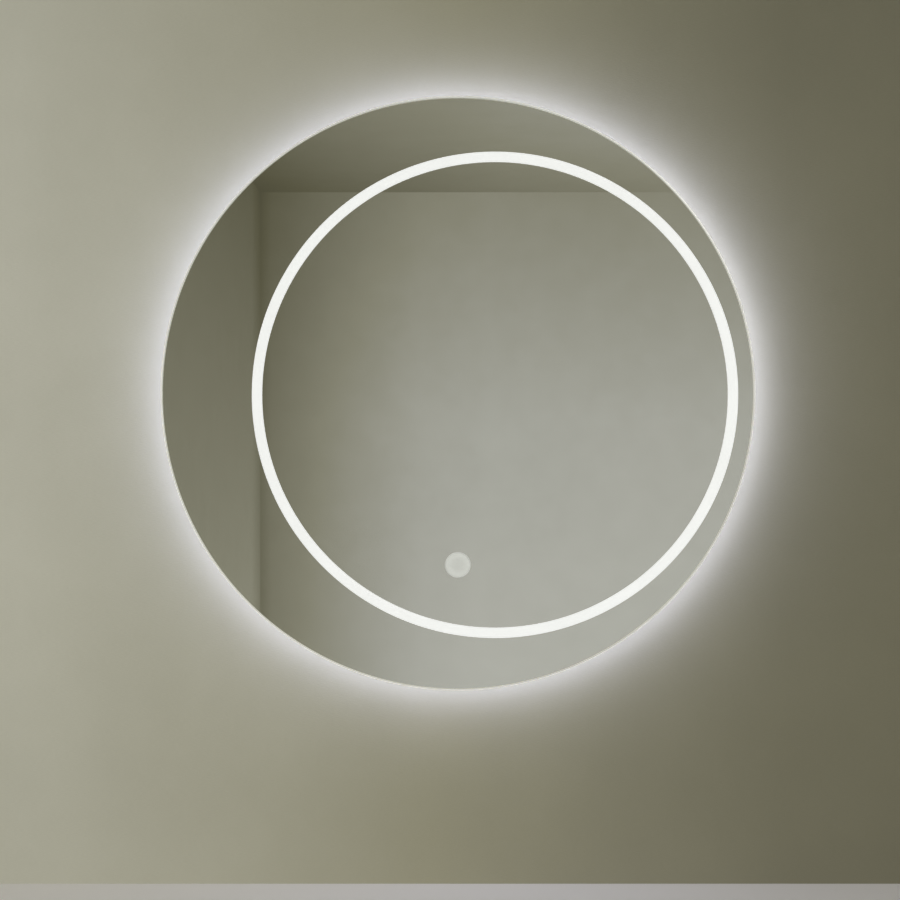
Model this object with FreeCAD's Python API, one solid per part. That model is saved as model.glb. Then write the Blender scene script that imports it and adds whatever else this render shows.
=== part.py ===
"""Round backlit bathroom mirror with an off-centre lit ring and a touch switch.

A silvered glass disc is bonded to a rolled aluminium hoop. The hoop is a channel that opens outwards: it
holds an LED strip, and the opal cover through which the strip washes the wall behind the glass. A second LED
strip lies in an off-centre ring channel, behind a band where the silver is left out. A steel back plate
closes the hoop and carries the driver, the terminal block, the leads and the upper one of two interlocking
hanging cleats. The lower cleat is screwed to the wall, and the mirror lifts up off it.

Frame, in millimetres: X to the right as you face the mirror, Y into the wall, Z up. The wall is the plane
Y = 0, and the origin is midway between the wall cleat's two screw slots. Inside this file a place is given as
(u, v), measured right and up from the centre of the glass, and a depth, measured from the wall to the front.
"""

import FreeCAD
import Part
import math
import os

# ---------------------------------------------------------------- driving sizes, in millimetres and degrees

# Glass and its coat
MIRROR_DIAMETER = 800.0
GLASS_THICKNESS = 5.0
GLASS_ARRIS = 1.5            # polished 45 degree bevel round the edge, front and back
COAT_THICKNESS = 0.3         # silver, paint and anti-shatter film together
COAT_EDGE_MARGIN = 2.0       # the coat stops this far from the edge of the glass

# Lit ring, seen from the front
RING_WIDTH = 14.0
RING_WIDE_MARGIN = 122.5     # edge of the glass to the ring, where they are furthest apart
RING_NEAR_ANGLE = -2.3       # direction in which they are closest, anticlockwise from the right

# Hoop, an aluminium channel rolled to a ring with its open side outwards
HOOP_INSET = 20.5            # edge of the glass to the inner face of the hoop
HOOP_WALL = 1.6
HOOP_LIP_REACH = 8.5         # inner face to the outer end of the rear lip
HOOP_FLANGE_REACH = 10.5     # inner face to the outer end of the glass flange
HOOP_SEAM = 0.3              # gap between the ends of the rolled channel
JOINER_LENGTH = 46.0
JOINER_THICKNESS = 2.0
JOINER_MARGIN = 2.0
TAPE_THICKNESS = 1.0         # foam tape between hoop and glass
TAPE_MARGIN = 0.5

# Halo light
COVER_THICKNESS = 2.0        # opal cover pressed between the hoop's lip and flange
COVER_SEAM = 0.8
STRIP_WIDTH = 10.0           # LED strip in a clear waterproof sleeve
STRIP_THICKNESS = 2.0
STRIP_GAP = 6.0              # between the two ends of a strip

# Channel behind the lit ring
CHANNEL_WALL = 1.2
CHANNEL_SIDE_GAP = 0.3       # edge of the lit ring to the channel's inside
CHANNEL_HOOP_GAP = 0.5       # channel to hoop where the two come closest
CHANNEL_PLATE_GAP = 6.0
CHANNEL_STRIP_LIFT = 1.0     # channel floor to the LED strip
RING_DIFFUSER_THICKNESS = 2.0

# Touch switch
TOUCH_DIAMETER = 35.0        # window in the silver
TOUCH_FROM_BOTTOM = 169.0    # centre of the window above the lowest point of the glass
TOUCH_CASE_SIZE = 46.0       # square
TOUCH_CASE_WALL = 1.5
TOUCH_CASE_LEDGE = 1.5       # width of the step that the board rests on
TOUCH_LEAD_GAP = 0.5         # lead to board
TOUCH_BOARD_THICKNESS = 1.6
TOUCH_LENS_THICKNESS = 2.0
TOUCH_LENS_GAP = 0.3         # LEDs to lens
TOUCH_FIT = 0.2              # case to board and case to lens
TOUCH_LED_SIZE = 3.0
TOUCH_LED_HEIGHT = 1.2
TOUCH_LED_COUNT = 6
TOUCH_LED_CIRCLE = 30.0      # diameter of the circle that the LEDs stand on

# Back plate
WALL_GAP = 10.0              # wall to the back plate
PLATE_THICKNESS = 1.2
PLATE_EDGE_MARGIN = 0.5      # edge of the plate to the edge of the hoop's lip
SWAGE_COUNT = 3              # stiffening ribs pressed towards the wall
SWAGE_LENGTH = 430.0
SWAGE_WIDTH = 18.0
SWAGE_HEIGHT = 2.5
SWAGE_SLOPE = 5.0
SWAGE_PITCH = 75.0
SWAGE_TOP = -45.0            # v of the uppermost one
SCREW_COUNT = 6
SCREW_RADIUS = 1.45
SCREW_HOLE_RADIUS = 1.7
SCREW_HEAD_ACROSS = 5.5      # across the flats of the hexagon
SCREW_HEAD_HEIGHT = 2.0
SCREW_TIP = 1.2              # screw end past the lip that it threads into

# Hanging cleats, folded from steel strip
CLEAT_FROM_TOP = 170.0       # screw line of the wall cleat to the top of the glass
CLEAT_LENGTH = 280.0
CLEAT_THICKNESS = 2.0
CLEAT_BEND = 0.7             # inside radius of the folds
CLEAT_LEG = 14.0             # wall leg, above and below the screw line
CLEAT_HOOK = 12.0            # overlap of the two hooks
CLEAT_SIDE_GAP = 0.2         # hook to hook, and hook to wall
CLEAT_TOP_GAP = 4.0          # top of the wall cleat's hook to the shoulder of the mirror's cleat
CLEAT_BASE = 22.0            # leg that is spot-welded to the back plate
SLOT_FROM_END = 40.0         # centre of a screw slot to the end of the wall cleat
SLOT_WIDTH = 6.5
SLOT_LENGTH = 20.0

# Wall pads
PAD_SPACING = 340.0
PAD_FROM_BOTTOM = 140.0      # centres above the lowest point of the glass
PAD_RADIUS = 11.0
PAD_TIP_RADIUS = 9.0

# Mains inlet
INLET_PLACE = (-92.0, 60.0)
INLET_BORE_RADIUS = 4.0
INLET_NECK_RADIUS = 6.5
INLET_FLANGE_RADIUS = 9.0
INLET_FLANGE_HEIGHT = 2.0

# LED driver, which sets the depth of the hoop
DRIVER_PLACE = (50.0, 110.0)
DRIVER_LENGTH = 100.0        # between the two end caps
DRIVER_WIDTH = 44.0
DRIVER_HEIGHT = 19.0
DRIVER_CAP_LENGTH = 20.0
DRIVER_CAP_STEP = 1.0        # the caps are this much lower than the case
DRIVER_RIB_COUNT = 8
DRIVER_RIB_PITCH = 11.0
DRIVER_RIB_WIDTH = 4.0
DRIVER_RIB_DEPTH = 0.8
DRIVER_RIB_MARGIN = 4.0      # end of a rib to the side of the case
DRIVER_GLASS_GAP = 3.8
PAD_TAPE_THICKNESS = 1.0     # foam under the driver and the terminal block
PAD_TAPE_MARGIN = 3.0

# Terminal block and earth tab, in line with the driver's input end
TERMINAL_GAP = 54.0          # driver to terminal block
TERMINAL_LENGTH = 36.0
TERMINAL_WIDTH = 22.0
TERMINAL_HEIGHT = 14.0
TERMINAL_WAYS = 3
TERMINAL_ENTRY = 4.0         # square mouth of each wire entry
TERMINAL_ENTRY_DEPTH = 6.0
TERMINAL_RELEASE_WIDTH = 2.0
TERMINAL_RELEASE_INSET = 10.8    # end of the block to the middle of a release slot
EARTH_GAP = 32.0             # terminal block to the middle of the earth tab's foot
EARTH_TAB_WIDTH = 6.3
EARTH_TAB_THICKNESS = 0.8
EARTH_TAB_FOOT = 9.0
EARTH_TAB_RISE = 9.0
EARTH_SOCKET_WALL = 1.0
EARTH_SOCKET_LENGTH = 7.0

# Internal leads, flat twin cable laid on the back plate
LEAD_WIDTH = 4.4
LEAD_THICKNESS = 2.0
LEAD_BEND = 16.0
LEAD_BEND_SHARE = 0.45       # most of a run that the bend at one end may take
LEAD_PITCH = 12.0            # between leads where they leave the driver
LEAD_LANE = 46.0             # driver's end to the first lead that runs up or down
LANE_PITCH = 25.0
LEAD_APPROACH = 65.0         # straight run into a strip connector
HALO_LEAD_DROP = 31.0        # touch lead to where the halo lead leaves its lane, below it
TOUCH_RISE_LENGTH = 46.0     # run in which the touch lead climbs from plate to glass
CONNECTOR_WIDTH = 16.0
CONNECTOR_REACH = 14.0       # radial size of the connector inside the hoop
CONNECTOR_STUB_WIDTH = 8.0
CONNECTOR_STUB_HEIGHT = 4.0
RING_FEED_ANGLE = 60.0
HALO_FEED_ANGLE = -98.0
CLIP_LENGTH = 8.0
CLIP_WALL = 1.0
CLIP_FOOT = 4.0
CLIP_FIT = 0.1
CLIP_PITCH = 140.0
CLIPS_PER_LANE = 2

# ---------------------------------------------------------------- places worked out from the sizes

MIRROR_R = MIRROR_DIAMETER / 2
HOOP_R = MIRROR_R - HOOP_INSET
HOOP_OUTER_R = HOOP_R + HOOP_WALL
LIP_R = HOOP_R + HOOP_LIP_REACH
FLANGE_R = HOOP_R + HOOP_FLANGE_REACH
COVER_R = LIP_R - COVER_THICKNESS
SCREW_CIRCLE_R = (HOOP_OUTER_R + COVER_R) / 2

# Depths, measured from the wall
PLATE_BACK = WALL_GAP
PLATE_FRONT = PLATE_BACK + PLATE_THICKNESS
DRIVER_BACK = PLATE_FRONT + PAD_TAPE_THICKNESS
DRIVER_FRONT = DRIVER_BACK + DRIVER_HEIGHT
COAT_BACK = DRIVER_FRONT + DRIVER_GLASS_GAP
GLASS_BACK = COAT_BACK + COAT_THICKNESS
GLASS_FRONT = GLASS_BACK + GLASS_THICKNESS
HOOP_BACK = PLATE_FRONT
HOOP_FRONT = COAT_BACK - TAPE_THICKNESS
LIP_FRONT = HOOP_BACK + HOOP_WALL
FLANGE_BACK = HOOP_FRONT - HOOP_WALL
HALO_MIDDLE = (LIP_FRONT + FLANGE_BACK) / 2
CHANNEL_BACK = PLATE_FRONT + CHANNEL_PLATE_GAP
CHANNEL_FLOOR = CHANNEL_BACK + CHANNEL_WALL
CHANNEL_FRONT = COAT_BACK - RING_DIFFUSER_THICKNESS
RING_STRIP_BACK = CHANNEL_FLOOR + CHANNEL_STRIP_LIFT

# The ring channel nests against the hoop on its near side, which sets where the lit ring can be.
RING_NEAR_REACH = HOOP_R - CHANNEL_HOOP_GAP - CHANNEL_WALL - CHANNEL_SIDE_GAP
RING_OUTER_R = (RING_NEAR_REACH + MIRROR_R - RING_WIDE_MARGIN) / 2
RING_INNER_R = RING_OUTER_R - RING_WIDTH
CHANNEL_BORE_R = RING_INNER_R - CHANNEL_SIDE_GAP
CHANNEL_RIM_R = RING_OUTER_R + CHANNEL_SIDE_GAP
CHANNEL_INNER_R = CHANNEL_BORE_R - CHANNEL_WALL
CHANNEL_OUTER_R = CHANNEL_RIM_R + CHANNEL_WALL

TOUCH_PLACE = (0.0, TOUCH_FROM_BOTTOM - MIRROR_R)
TOUCH_INSIDE = TOUCH_CASE_SIZE - 2 * TOUCH_CASE_WALL
TOUCH_LENS_BACK = COAT_BACK - TOUCH_LENS_THICKNESS
TOUCH_BOARD_FRONT = TOUCH_LENS_BACK - TOUCH_LENS_GAP - TOUCH_LED_HEIGHT
TOUCH_BOARD_BACK = TOUCH_BOARD_FRONT - TOUCH_BOARD_THICKNESS
TOUCH_FLOOR = TOUCH_BOARD_BACK - TOUCH_LEAD_GAP - LEAD_THICKNESS
TOUCH_CASE_BACK = TOUCH_FLOOR - TOUCH_CASE_WALL

CLEAT_RISE = MIRROR_R - CLEAT_FROM_TOP
HOOK_SEAT = CLEAT_LEG                                # height where the two cleats bear on each other
HOOK_BACK = CLEAT_THICKNESS + 2 * CLEAT_SIDE_GAP     # wall to the back of the wall cleat's hook
HOOK_TIP = HOOK_SEAT + CLEAT_HOOK
SHOULDER = HOOK_TIP + CLEAT_TOP_GAP

DRIVER_LEFT = DRIVER_PLACE[0] - DRIVER_LENGTH / 2
DRIVER_RIGHT = DRIVER_PLACE[0] + DRIVER_LENGTH / 2
DRIVER_INPUT = DRIVER_LEFT - DRIVER_CAP_LENGTH
DRIVER_OUTPUT = DRIVER_RIGHT + DRIVER_CAP_LENGTH
TERMINAL_RIGHT = DRIVER_INPUT - TERMINAL_GAP
TERMINAL_LEFT = TERMINAL_RIGHT - TERMINAL_LENGTH
TERMINAL_PLACE = ((TERMINAL_LEFT + TERMINAL_RIGHT) / 2, DRIVER_PLACE[1])
EARTH_PLACE = (TERMINAL_LEFT - EARTH_GAP, DRIVER_PLACE[1])
EARTH_BLADE_RIGHT = EARTH_PLACE[0] + EARTH_TAB_FOOT / 2
INNER_LANE = DRIVER_OUTPUT + LEAD_LANE
OUTER_LANE = INNER_LANE + LANE_PITCH

ORIGIN = FreeCAD.Vector(0, 0, 0)
TO_FRONT = FreeCAD.Vector(0, -1, 0)
TO_RIGHT = FreeCAD.Vector(1, 0, 0)
UP = FreeCAD.Vector(0, 0, 1)

OUT = "parts"


# ---------------------------------------------------------------- helpers

def at(u, v, depth):
    """A point, from its place on the glass and its depth from the wall."""
    return FreeCAD.Vector(u, -depth, v - CLEAT_RISE)


def polar(radius, degrees, centre=(0.0, 0.0)):
    """The (u, v) place at a radius and an angle, anticlockwise from the right."""
    turn = math.radians(degrees)
    return (centre[0] + radius * math.cos(turn), centre[1] + radius * math.sin(turn))


RING_CENTRE = polar(RING_NEAR_REACH - RING_OUTER_R, RING_NEAR_ANGLE)


def outward(shape):
    """The shape with its faces pointing outwards."""
    return shape if shape.Volume > 0 else shape.reversed()


def rod(radius, back, front, place=(0.0, 0.0)):
    """A cylinder square to the wall, between two depths."""
    return Part.makeCylinder(radius, front - back, at(*place, back), TO_FRONT)


def block(u_range, v_range, depths):
    """A box between two values each of u, v and depth."""
    size = [high - low for low, high in (u_range, depths, v_range)]
    return Part.makeBox(*size, at(u_range[0], v_range[0], depths[1]))


def centred_block(place, length, height, depths):
    """A box centred on a place, of a length along u and a height along v."""
    u, v = place
    return block((u - length / 2, u + length / 2), (v - height / 2, v + height / 2), depths)


def fillet_face(corners, place):
    """A flat face from (a, b) or (a, b, fillet) corners, where place turns (a, b) into a point."""
    edges, starts, ends = [], [], []
    for i, corner in enumerate(corners):
        here = place(*corner[:2])
        fillet = corner[2] if len(corner) > 2 else 0.0
        way_in = (here - place(*corners[i - 1][:2])).normalize()
        way_out = (place(*corners[(i + 1) % len(corners)][:2]) - here).normalize()
        half_turn = way_in.getAngle(way_out) / 2
        back_off = fillet * math.tan(half_turn)
        starts.append(here - way_in * back_off)
        ends.append(here + way_out * back_off)
        if fillet:
            inward = (way_out - way_in).normalize()
            middle = here + inward * fillet * (1 / math.cos(half_turn) - 1)
            edges.append(Part.Arc(starts[-1], middle, ends[-1]).toShape())
    for i, end in enumerate(ends):
        start = starts[(i + 1) % len(corners)]
        edges.append(Part.LineSegment(end, start).toShape())
    return Part.Face(Part.Wire(Part.__sortEdges__(edges)))


def spin(corners, centre=(0.0, 0.0), start=0.0, sweep=360.0):
    """A solid of revolution about an axis square to the wall, from (radius, depth) corners."""
    face = fillet_face(corners, lambda radius, depth: FreeCAD.Vector(radius, -depth, 0))
    face.rotate(ORIGIN, TO_FRONT, start)
    solid = face.revolve(ORIGIN, TO_FRONT, sweep)
    solid.translate(at(*centre, 0.0))
    return outward(solid)


def spin_open(corners, radius, gap, centre=(0.0, 0.0), middle=-90.0):
    """A full turn less a gap, measured along the arc at a radius, whose middle is at an angle."""
    half_gap = math.degrees(gap / radius) / 2
    return spin(corners, centre, middle + half_gap, 360 - 2 * half_gap)


def box_section(low_radius, high_radius, back, front):
    """The (radius, depth) corners of a rectangular section."""
    return [(low_radius, back), (high_radius, back), (high_radius, front), (low_radius, front)]


def extrude_cleat(corners):
    """A straight folded strip along X, from (height above the screw line, depth) corners."""
    face = fillet_face(corners, lambda height, depth: FreeCAD.Vector(-CLEAT_LENGTH / 2, -depth, height))
    return outward(face.extrude(TO_RIGHT * CLEAT_LENGTH))


def merge(shapes):
    """One solid from several that touch or overlap."""
    return shapes[0].multiFuse(shapes[1:]).removeSplitter()


def cut_all(shape, tools):
    """The shape less all the tools."""
    return shape.cut(Part.makeCompound(tools))


def turn_to(shape, degrees, centre=(0.0, 0.0)):
    """A shape drawn at angle 0 about the middle of the glass, turned to its angle about another centre."""
    shape.rotate(at(0.0, 0.0, 0.0), TO_FRONT, degrees)
    shape.translate(at(*centre, 0.0) - at(0.0, 0.0, 0.0))
    return shape


def ribbon_corners(points, width, bend):
    """A strip of constant width along a path of runs and tangent arcs, as corners for fillet_face."""
    left, right = [], []
    path = [FreeCAD.Vector(*point, 0) for point in points]
    for i, here in enumerate(path):
        way_in = here - path[max(i - 1, 0)]
        way_out = path[min(i + 1, len(path) - 1)] - here
        shorter = min(way_in.Length, way_out.Length)
        way_in = (way_in if i else way_out).normalize()
        way_out = (way_out if i < len(path) - 1 else way_in).normalize()
        side_in = FreeCAD.Vector(-way_in.y, way_in.x, 0)
        side_out = FreeCAD.Vector(-way_out.y, way_out.x, 0)
        offset = (side_in + side_out) * (width / 2 / (1 + side_in.dot(side_out)))
        left_fillet = right_fillet = 0.0
        if shorter > 0:
            half_turn = way_in.getAngle(way_out) / 2
            radius = min(bend, LEAD_BEND_SHARE * shorter / math.tan(half_turn))
            towards_left = math.copysign(width / 2, way_in.cross(way_out).z)
            left_fillet, right_fillet = radius - towards_left, radius + towards_left
        left.append((here.x + offset.x, here.y + offset.y, left_fillet))
        right.append((here.x - offset.x, here.y - offset.y, right_fillet))
    return left + right[::-1]


def save(node, *shapes):
    """Writes one sub-part, as separate solids, to its own file."""
    solids = [solid for shape in shapes for solid in shape.Solids]
    Part.makeCompound(solids).exportStep(os.path.join(OUT, node + ".step"))


# ---------------------------------------------------------------- glass and what is bonded to it

def mirror_glass():
    rear_r = MIRROR_R - GLASS_ARRIS
    return spin([(0, GLASS_BACK),
                 (rear_r, GLASS_BACK),
                 (MIRROR_R, GLASS_BACK + GLASS_ARRIS),
                 (MIRROR_R, GLASS_FRONT - GLASS_ARRIS),
                 (rear_r, GLASS_FRONT),
                 (0, GLASS_FRONT)])


def silver_backing():
    """The coat, with a window for the lit ring and one for the touch switch."""
    coat = rod(MIRROR_R - COAT_EDGE_MARGIN, COAT_BACK, GLASS_BACK)
    ring_window = spin(box_section(RING_INNER_R, RING_OUTER_R, COAT_BACK, GLASS_BACK), RING_CENTRE)
    touch_window = rod(TOUCH_DIAMETER / 2, COAT_BACK, GLASS_BACK, TOUCH_PLACE)
    return cut_all(coat, [ring_window, touch_window])


def bonding_tape():
    return spin(box_section(HOOP_R + TAPE_MARGIN, FLANGE_R - TAPE_MARGIN, HOOP_FRONT, COAT_BACK))


# ---------------------------------------------------------------- hoop and halo light

def frame_hoop():
    """The rolled channel: web, rear lip and glass flange."""
    section = [(HOOP_R, HOOP_BACK),
               (LIP_R, HOOP_BACK),
               (LIP_R, LIP_FRONT),
               (HOOP_OUTER_R, LIP_FRONT),
               (HOOP_OUTER_R, FLANGE_BACK),
               (FLANGE_R, FLANGE_BACK),
               (FLANGE_R, HOOP_FRONT),
               (HOOP_R, HOOP_FRONT)]
    hoop = spin_open(section, HOOP_R, HOOP_SEAM)
    threads = [rod(SCREW_RADIUS, HOOP_BACK, LIP_FRONT, place) for place in screw_places()]
    return cut_all(hoop, threads + [halo_stub(HOOP_R - HOOP_WALL, HOOP_OUTER_R + HOOP_WALL)])


def hoop_joiner():
    """A curved plate inside the hoop that bridges its seam."""
    section = box_section(HOOP_R - JOINER_THICKNESS, HOOP_R,
                          LIP_FRONT + JOINER_MARGIN, FLANGE_BACK - JOINER_MARGIN)
    half_angle = math.degrees(JOINER_LENGTH / HOOP_R) / 2
    return spin(section, start=-90 - half_angle, sweep=2 * half_angle)


def halo_cover():
    return spin_open(box_section(COVER_R, LIP_R, LIP_FRONT, FLANGE_BACK), LIP_R, COVER_SEAM)


def halo_led_strip():
    section = box_section(HOOP_OUTER_R, HOOP_OUTER_R + STRIP_THICKNESS,
                          HALO_MIDDLE - STRIP_WIDTH / 2, HALO_MIDDLE + STRIP_WIDTH / 2)
    return spin_open(section, HOOP_OUTER_R, STRIP_GAP)


# ---------------------------------------------------------------- lit ring

def ring_channel():
    section = [(CHANNEL_INNER_R, CHANNEL_BACK),
               (CHANNEL_OUTER_R, CHANNEL_BACK),
               (CHANNEL_OUTER_R, CHANNEL_FRONT),
               (CHANNEL_RIM_R, CHANNEL_FRONT),
               (CHANNEL_RIM_R, CHANNEL_FLOOR),
               (CHANNEL_BORE_R, CHANNEL_FLOOR),
               (CHANNEL_BORE_R, CHANNEL_FRONT),
               (CHANNEL_INNER_R, CHANNEL_FRONT)]
    return spin(section, RING_CENTRE).cut(ring_stub(CHANNEL_BACK, CHANNEL_FLOOR))


def ring_diffuser():
    return spin(box_section(CHANNEL_INNER_R, CHANNEL_OUTER_R, CHANNEL_FRONT, COAT_BACK), RING_CENTRE)


def ring_led_strip():
    """Stands on edge against the channel's inner wall, and so bends the easy way."""
    section = box_section(CHANNEL_BORE_R, CHANNEL_BORE_R + STRIP_THICKNESS,
                          RING_STRIP_BACK, RING_STRIP_BACK + STRIP_WIDTH)
    return spin_open(section, CHANNEL_BORE_R, STRIP_GAP, RING_CENTRE, RING_FEED_ANGLE + 180)


# ---------------------------------------------------------------- touch switch

def touch_block(size, back, front):
    """A square block behind the touch window."""
    return centred_block(TOUCH_PLACE, size, size, (back, front))


def touch_case():
    """A stepped square tray bonded to the back of the glass, with a notch where its lead enters."""
    tray = touch_block(TOUCH_CASE_SIZE, TOUCH_CASE_BACK, COAT_BACK)
    upper = touch_block(TOUCH_INSIDE, TOUCH_BOARD_BACK, COAT_BACK)
    lower = touch_block(TOUCH_INSIDE - 2 * TOUCH_CASE_LEDGE, TOUCH_FLOOR, TOUCH_BOARD_BACK)
    u, v = TOUCH_PLACE
    notch = block((u, u + TOUCH_CASE_SIZE), (v - LEAD_WIDTH / 2, v + LEAD_WIDTH / 2),
                  (TOUCH_FLOOR, TOUCH_FLOOR + LEAD_THICKNESS))
    return cut_all(tray, [upper, lower, notch])


def touch_board():
    return touch_block(TOUCH_INSIDE - 2 * TOUCH_FIT, TOUCH_BOARD_BACK, TOUCH_BOARD_FRONT)


def touch_leds():
    """Small LEDs in a circle on the board."""
    step = 360 / TOUCH_LED_COUNT
    places = [polar(TOUCH_LED_CIRCLE / 2, step * i, TOUCH_PLACE) for i in range(TOUCH_LED_COUNT)]
    depths = (TOUCH_BOARD_FRONT, TOUCH_BOARD_FRONT + TOUCH_LED_HEIGHT)
    return [centred_block(place, TOUCH_LED_SIZE, TOUCH_LED_SIZE, depths) for place in places]


def touch_lens():
    return touch_block(TOUCH_INSIDE - 2 * TOUCH_FIT, TOUCH_LENS_BACK, COAT_BACK)


# ---------------------------------------------------------------- back plate, pads and inlet

def screw_places():
    step = 360 / SCREW_COUNT
    return [polar(SCREW_CIRCLE_R, step * (i + 0.5)) for i in range(SCREW_COUNT)]


def swage(v, base_depth, inset):
    """One face of a pressed rib: a low block with four sloping sides, from a depth towards the wall."""
    half_length = SWAGE_LENGTH / 2 - inset
    low = v - CLEAT_RISE - SWAGE_WIDTH / 2 + inset
    high = v - CLEAT_RISE + SWAGE_WIDTH / 2 - inset
    return Part.makeWedge(-half_length, -base_depth, low, low + SWAGE_SLOPE, -half_length + SWAGE_SLOPE,
                          half_length, -base_depth + SWAGE_HEIGHT, high, high - SWAGE_SLOPE,
                          half_length - SWAGE_SLOPE)


def back_plate():
    """A steel disc with pressed ribs, screw holes and the hole for the mains inlet."""
    slope = math.atan2(SWAGE_HEIGHT, SWAGE_SLOPE)
    inset = PLATE_THICKNESS * math.tan(slope / 2)
    heights = [SWAGE_TOP - SWAGE_PITCH * i for i in range(SWAGE_COUNT)]
    disc = rod(LIP_R - PLATE_EDGE_MARGIN, PLATE_BACK, PLATE_FRONT)
    plate = merge([disc] + [swage(v, PLATE_BACK, 0.0) for v in heights])
    holes = [rod(SCREW_HOLE_RADIUS, PLATE_BACK, PLATE_FRONT, place) for place in screw_places()]
    inlet_hole = rod(INLET_NECK_RADIUS, PLATE_BACK, PLATE_FRONT, INLET_PLACE)
    hollows = [swage(v, PLATE_FRONT, inset) for v in heights]
    return cut_all(plate, holes + [inlet_hole] + hollows)


def plate_screw(place):
    """A hexagon-headed screw from behind, through the plate into the hoop's lip."""
    corner_r = SCREW_HEAD_ACROSS / math.sqrt(3)
    head_back = PLATE_BACK - SCREW_HEAD_HEIGHT
    corners = [at(*polar(corner_r, 60 * i, place), head_back) for i in range(6)]
    head = Part.Face(Part.makePolygon(corners + corners[:1])).extrude(TO_FRONT * SCREW_HEAD_HEIGHT)
    shank = rod(SCREW_RADIUS, PLATE_BACK, LIP_FRONT + SCREW_TIP, place)
    return merge([outward(head), shank])


def wall_pads():
    """Two soft tapered feet that keep the lower half of the mirror off the wall."""
    height = PAD_FROM_BOTTOM - MIRROR_R
    section = [(0, 0), (PAD_TIP_RADIUS, 0), (PAD_RADIUS, PLATE_BACK), (0, PLATE_BACK)]
    return [spin(section, (side * PAD_SPACING / 2, height)) for side in (-1, 1)]


def inlet_grommet():
    """The rubber bush for the mains lead."""
    rear = PLATE_BACK - INLET_FLANGE_HEIGHT
    front = PLATE_FRONT + INLET_FLANGE_HEIGHT
    return spin([(INLET_BORE_RADIUS, rear),
                 (INLET_FLANGE_RADIUS, rear),
                 (INLET_FLANGE_RADIUS, PLATE_BACK),
                 (INLET_NECK_RADIUS, PLATE_BACK),
                 (INLET_NECK_RADIUS, front),
                 (INLET_BORE_RADIUS, front)], INLET_PLACE)


# ---------------------------------------------------------------- hanging cleats

def wall_cleat():
    """Screwed to the wall. Its hook stands off the wall and points up."""
    hook_front = HOOK_BACK + CLEAT_THICKNESS
    fold = CLEAT_BEND
    bar = extrude_cleat([(-CLEAT_LEG, 0),
                         (HOOK_SEAT, 0),
                         (HOOK_SEAT, HOOK_BACK),
                         (HOOK_TIP, HOOK_BACK, fold),
                         (HOOK_TIP, hook_front),
                         (HOOK_SEAT - CLEAT_THICKNESS, hook_front, fold),
                         (HOOK_SEAT - CLEAT_THICKNESS, CLEAT_THICKNESS),
                         (-CLEAT_LEG, CLEAT_THICKNESS, fold)])
    slot_u = CLEAT_LENGTH / 2 - SLOT_FROM_END
    return cut_all(bar, [screw_slot(-slot_u), screw_slot(slot_u)])


def screw_slot(u):
    """A round-ended slot along X through the wall cleat's leg."""
    half = (SLOT_LENGTH - SLOT_WIDTH) / 2
    ends = [rod(SLOT_WIDTH / 2, 0, CLEAT_THICKNESS, (u + side * half, CLEAT_RISE)) for side in (-1, 1)]
    middle = centred_block((u, CLEAT_RISE), 2 * half, SLOT_WIDTH, (0, CLEAT_THICKNESS))
    return merge(ends + [middle])


def mirror_cleat():
    """Welded to the back plate. Its hook points down, between the wall and the wall cleat's hook."""
    hook_back = CLEAT_SIDE_GAP
    hook_front = hook_back + CLEAT_THICKNESS
    base_back = PLATE_BACK - CLEAT_THICKNESS
    fold_top = SHOULDER + CLEAT_THICKNESS
    fold = CLEAT_BEND
    return extrude_cleat([(HOOK_SEAT, hook_back, fold),
                          (fold_top, hook_back, fold + CLEAT_THICKNESS / 2),
                          (fold_top, base_back, fold),
                          (fold_top + CLEAT_BASE, base_back, fold),
                          (fold_top + CLEAT_BASE, PLATE_BACK),
                          (SHOULDER, PLATE_BACK, fold + CLEAT_THICKNESS / 2),
                          (SHOULDER, hook_front, fold),
                          (HOOK_SEAT, hook_front, fold)])


# ---------------------------------------------------------------- driver and terminal block

def driver_case():
    """The sealed supply, with shallow ribs across its front."""
    rib_foot = DRIVER_FRONT - DRIVER_RIB_DEPTH
    case = centred_block(DRIVER_PLACE, DRIVER_LENGTH, DRIVER_WIDTH, (DRIVER_BACK, rib_foot))
    first = DRIVER_PLACE[0] - DRIVER_RIB_PITCH * (DRIVER_RIB_COUNT - 1) / 2
    rib_height = DRIVER_WIDTH - 2 * DRIVER_RIB_MARGIN
    ribs = [centred_block((first + DRIVER_RIB_PITCH * i, DRIVER_PLACE[1]), DRIVER_RIB_WIDTH, rib_height,
                          (rib_foot, DRIVER_FRONT)) for i in range(DRIVER_RIB_COUNT)]
    return merge([case] + ribs)


def driver_end_caps():
    """The covers over the driver's input and output terminals."""
    depths = (DRIVER_BACK, DRIVER_FRONT - DRIVER_RIB_DEPTH - DRIVER_CAP_STEP)
    half_width = DRIVER_WIDTH / 2
    v_range = (DRIVER_PLACE[1] - half_width, DRIVER_PLACE[1] + half_width)
    ends = ((DRIVER_INPUT, DRIVER_LEFT), (DRIVER_RIGHT, DRIVER_OUTPUT))
    return [block(u_range, v_range, depths) for u_range in ends]


def foam_pads():
    """Foam tape under the driver and under the terminal block."""
    depths = (PLATE_FRONT, DRIVER_BACK)
    inset = 2 * PAD_TAPE_MARGIN
    return [centred_block(DRIVER_PLACE, DRIVER_LENGTH - inset, DRIVER_WIDTH - inset, depths),
            centred_block(TERMINAL_PLACE, TERMINAL_LENGTH - inset, TERMINAL_WIDTH - inset, depths)]


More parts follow.
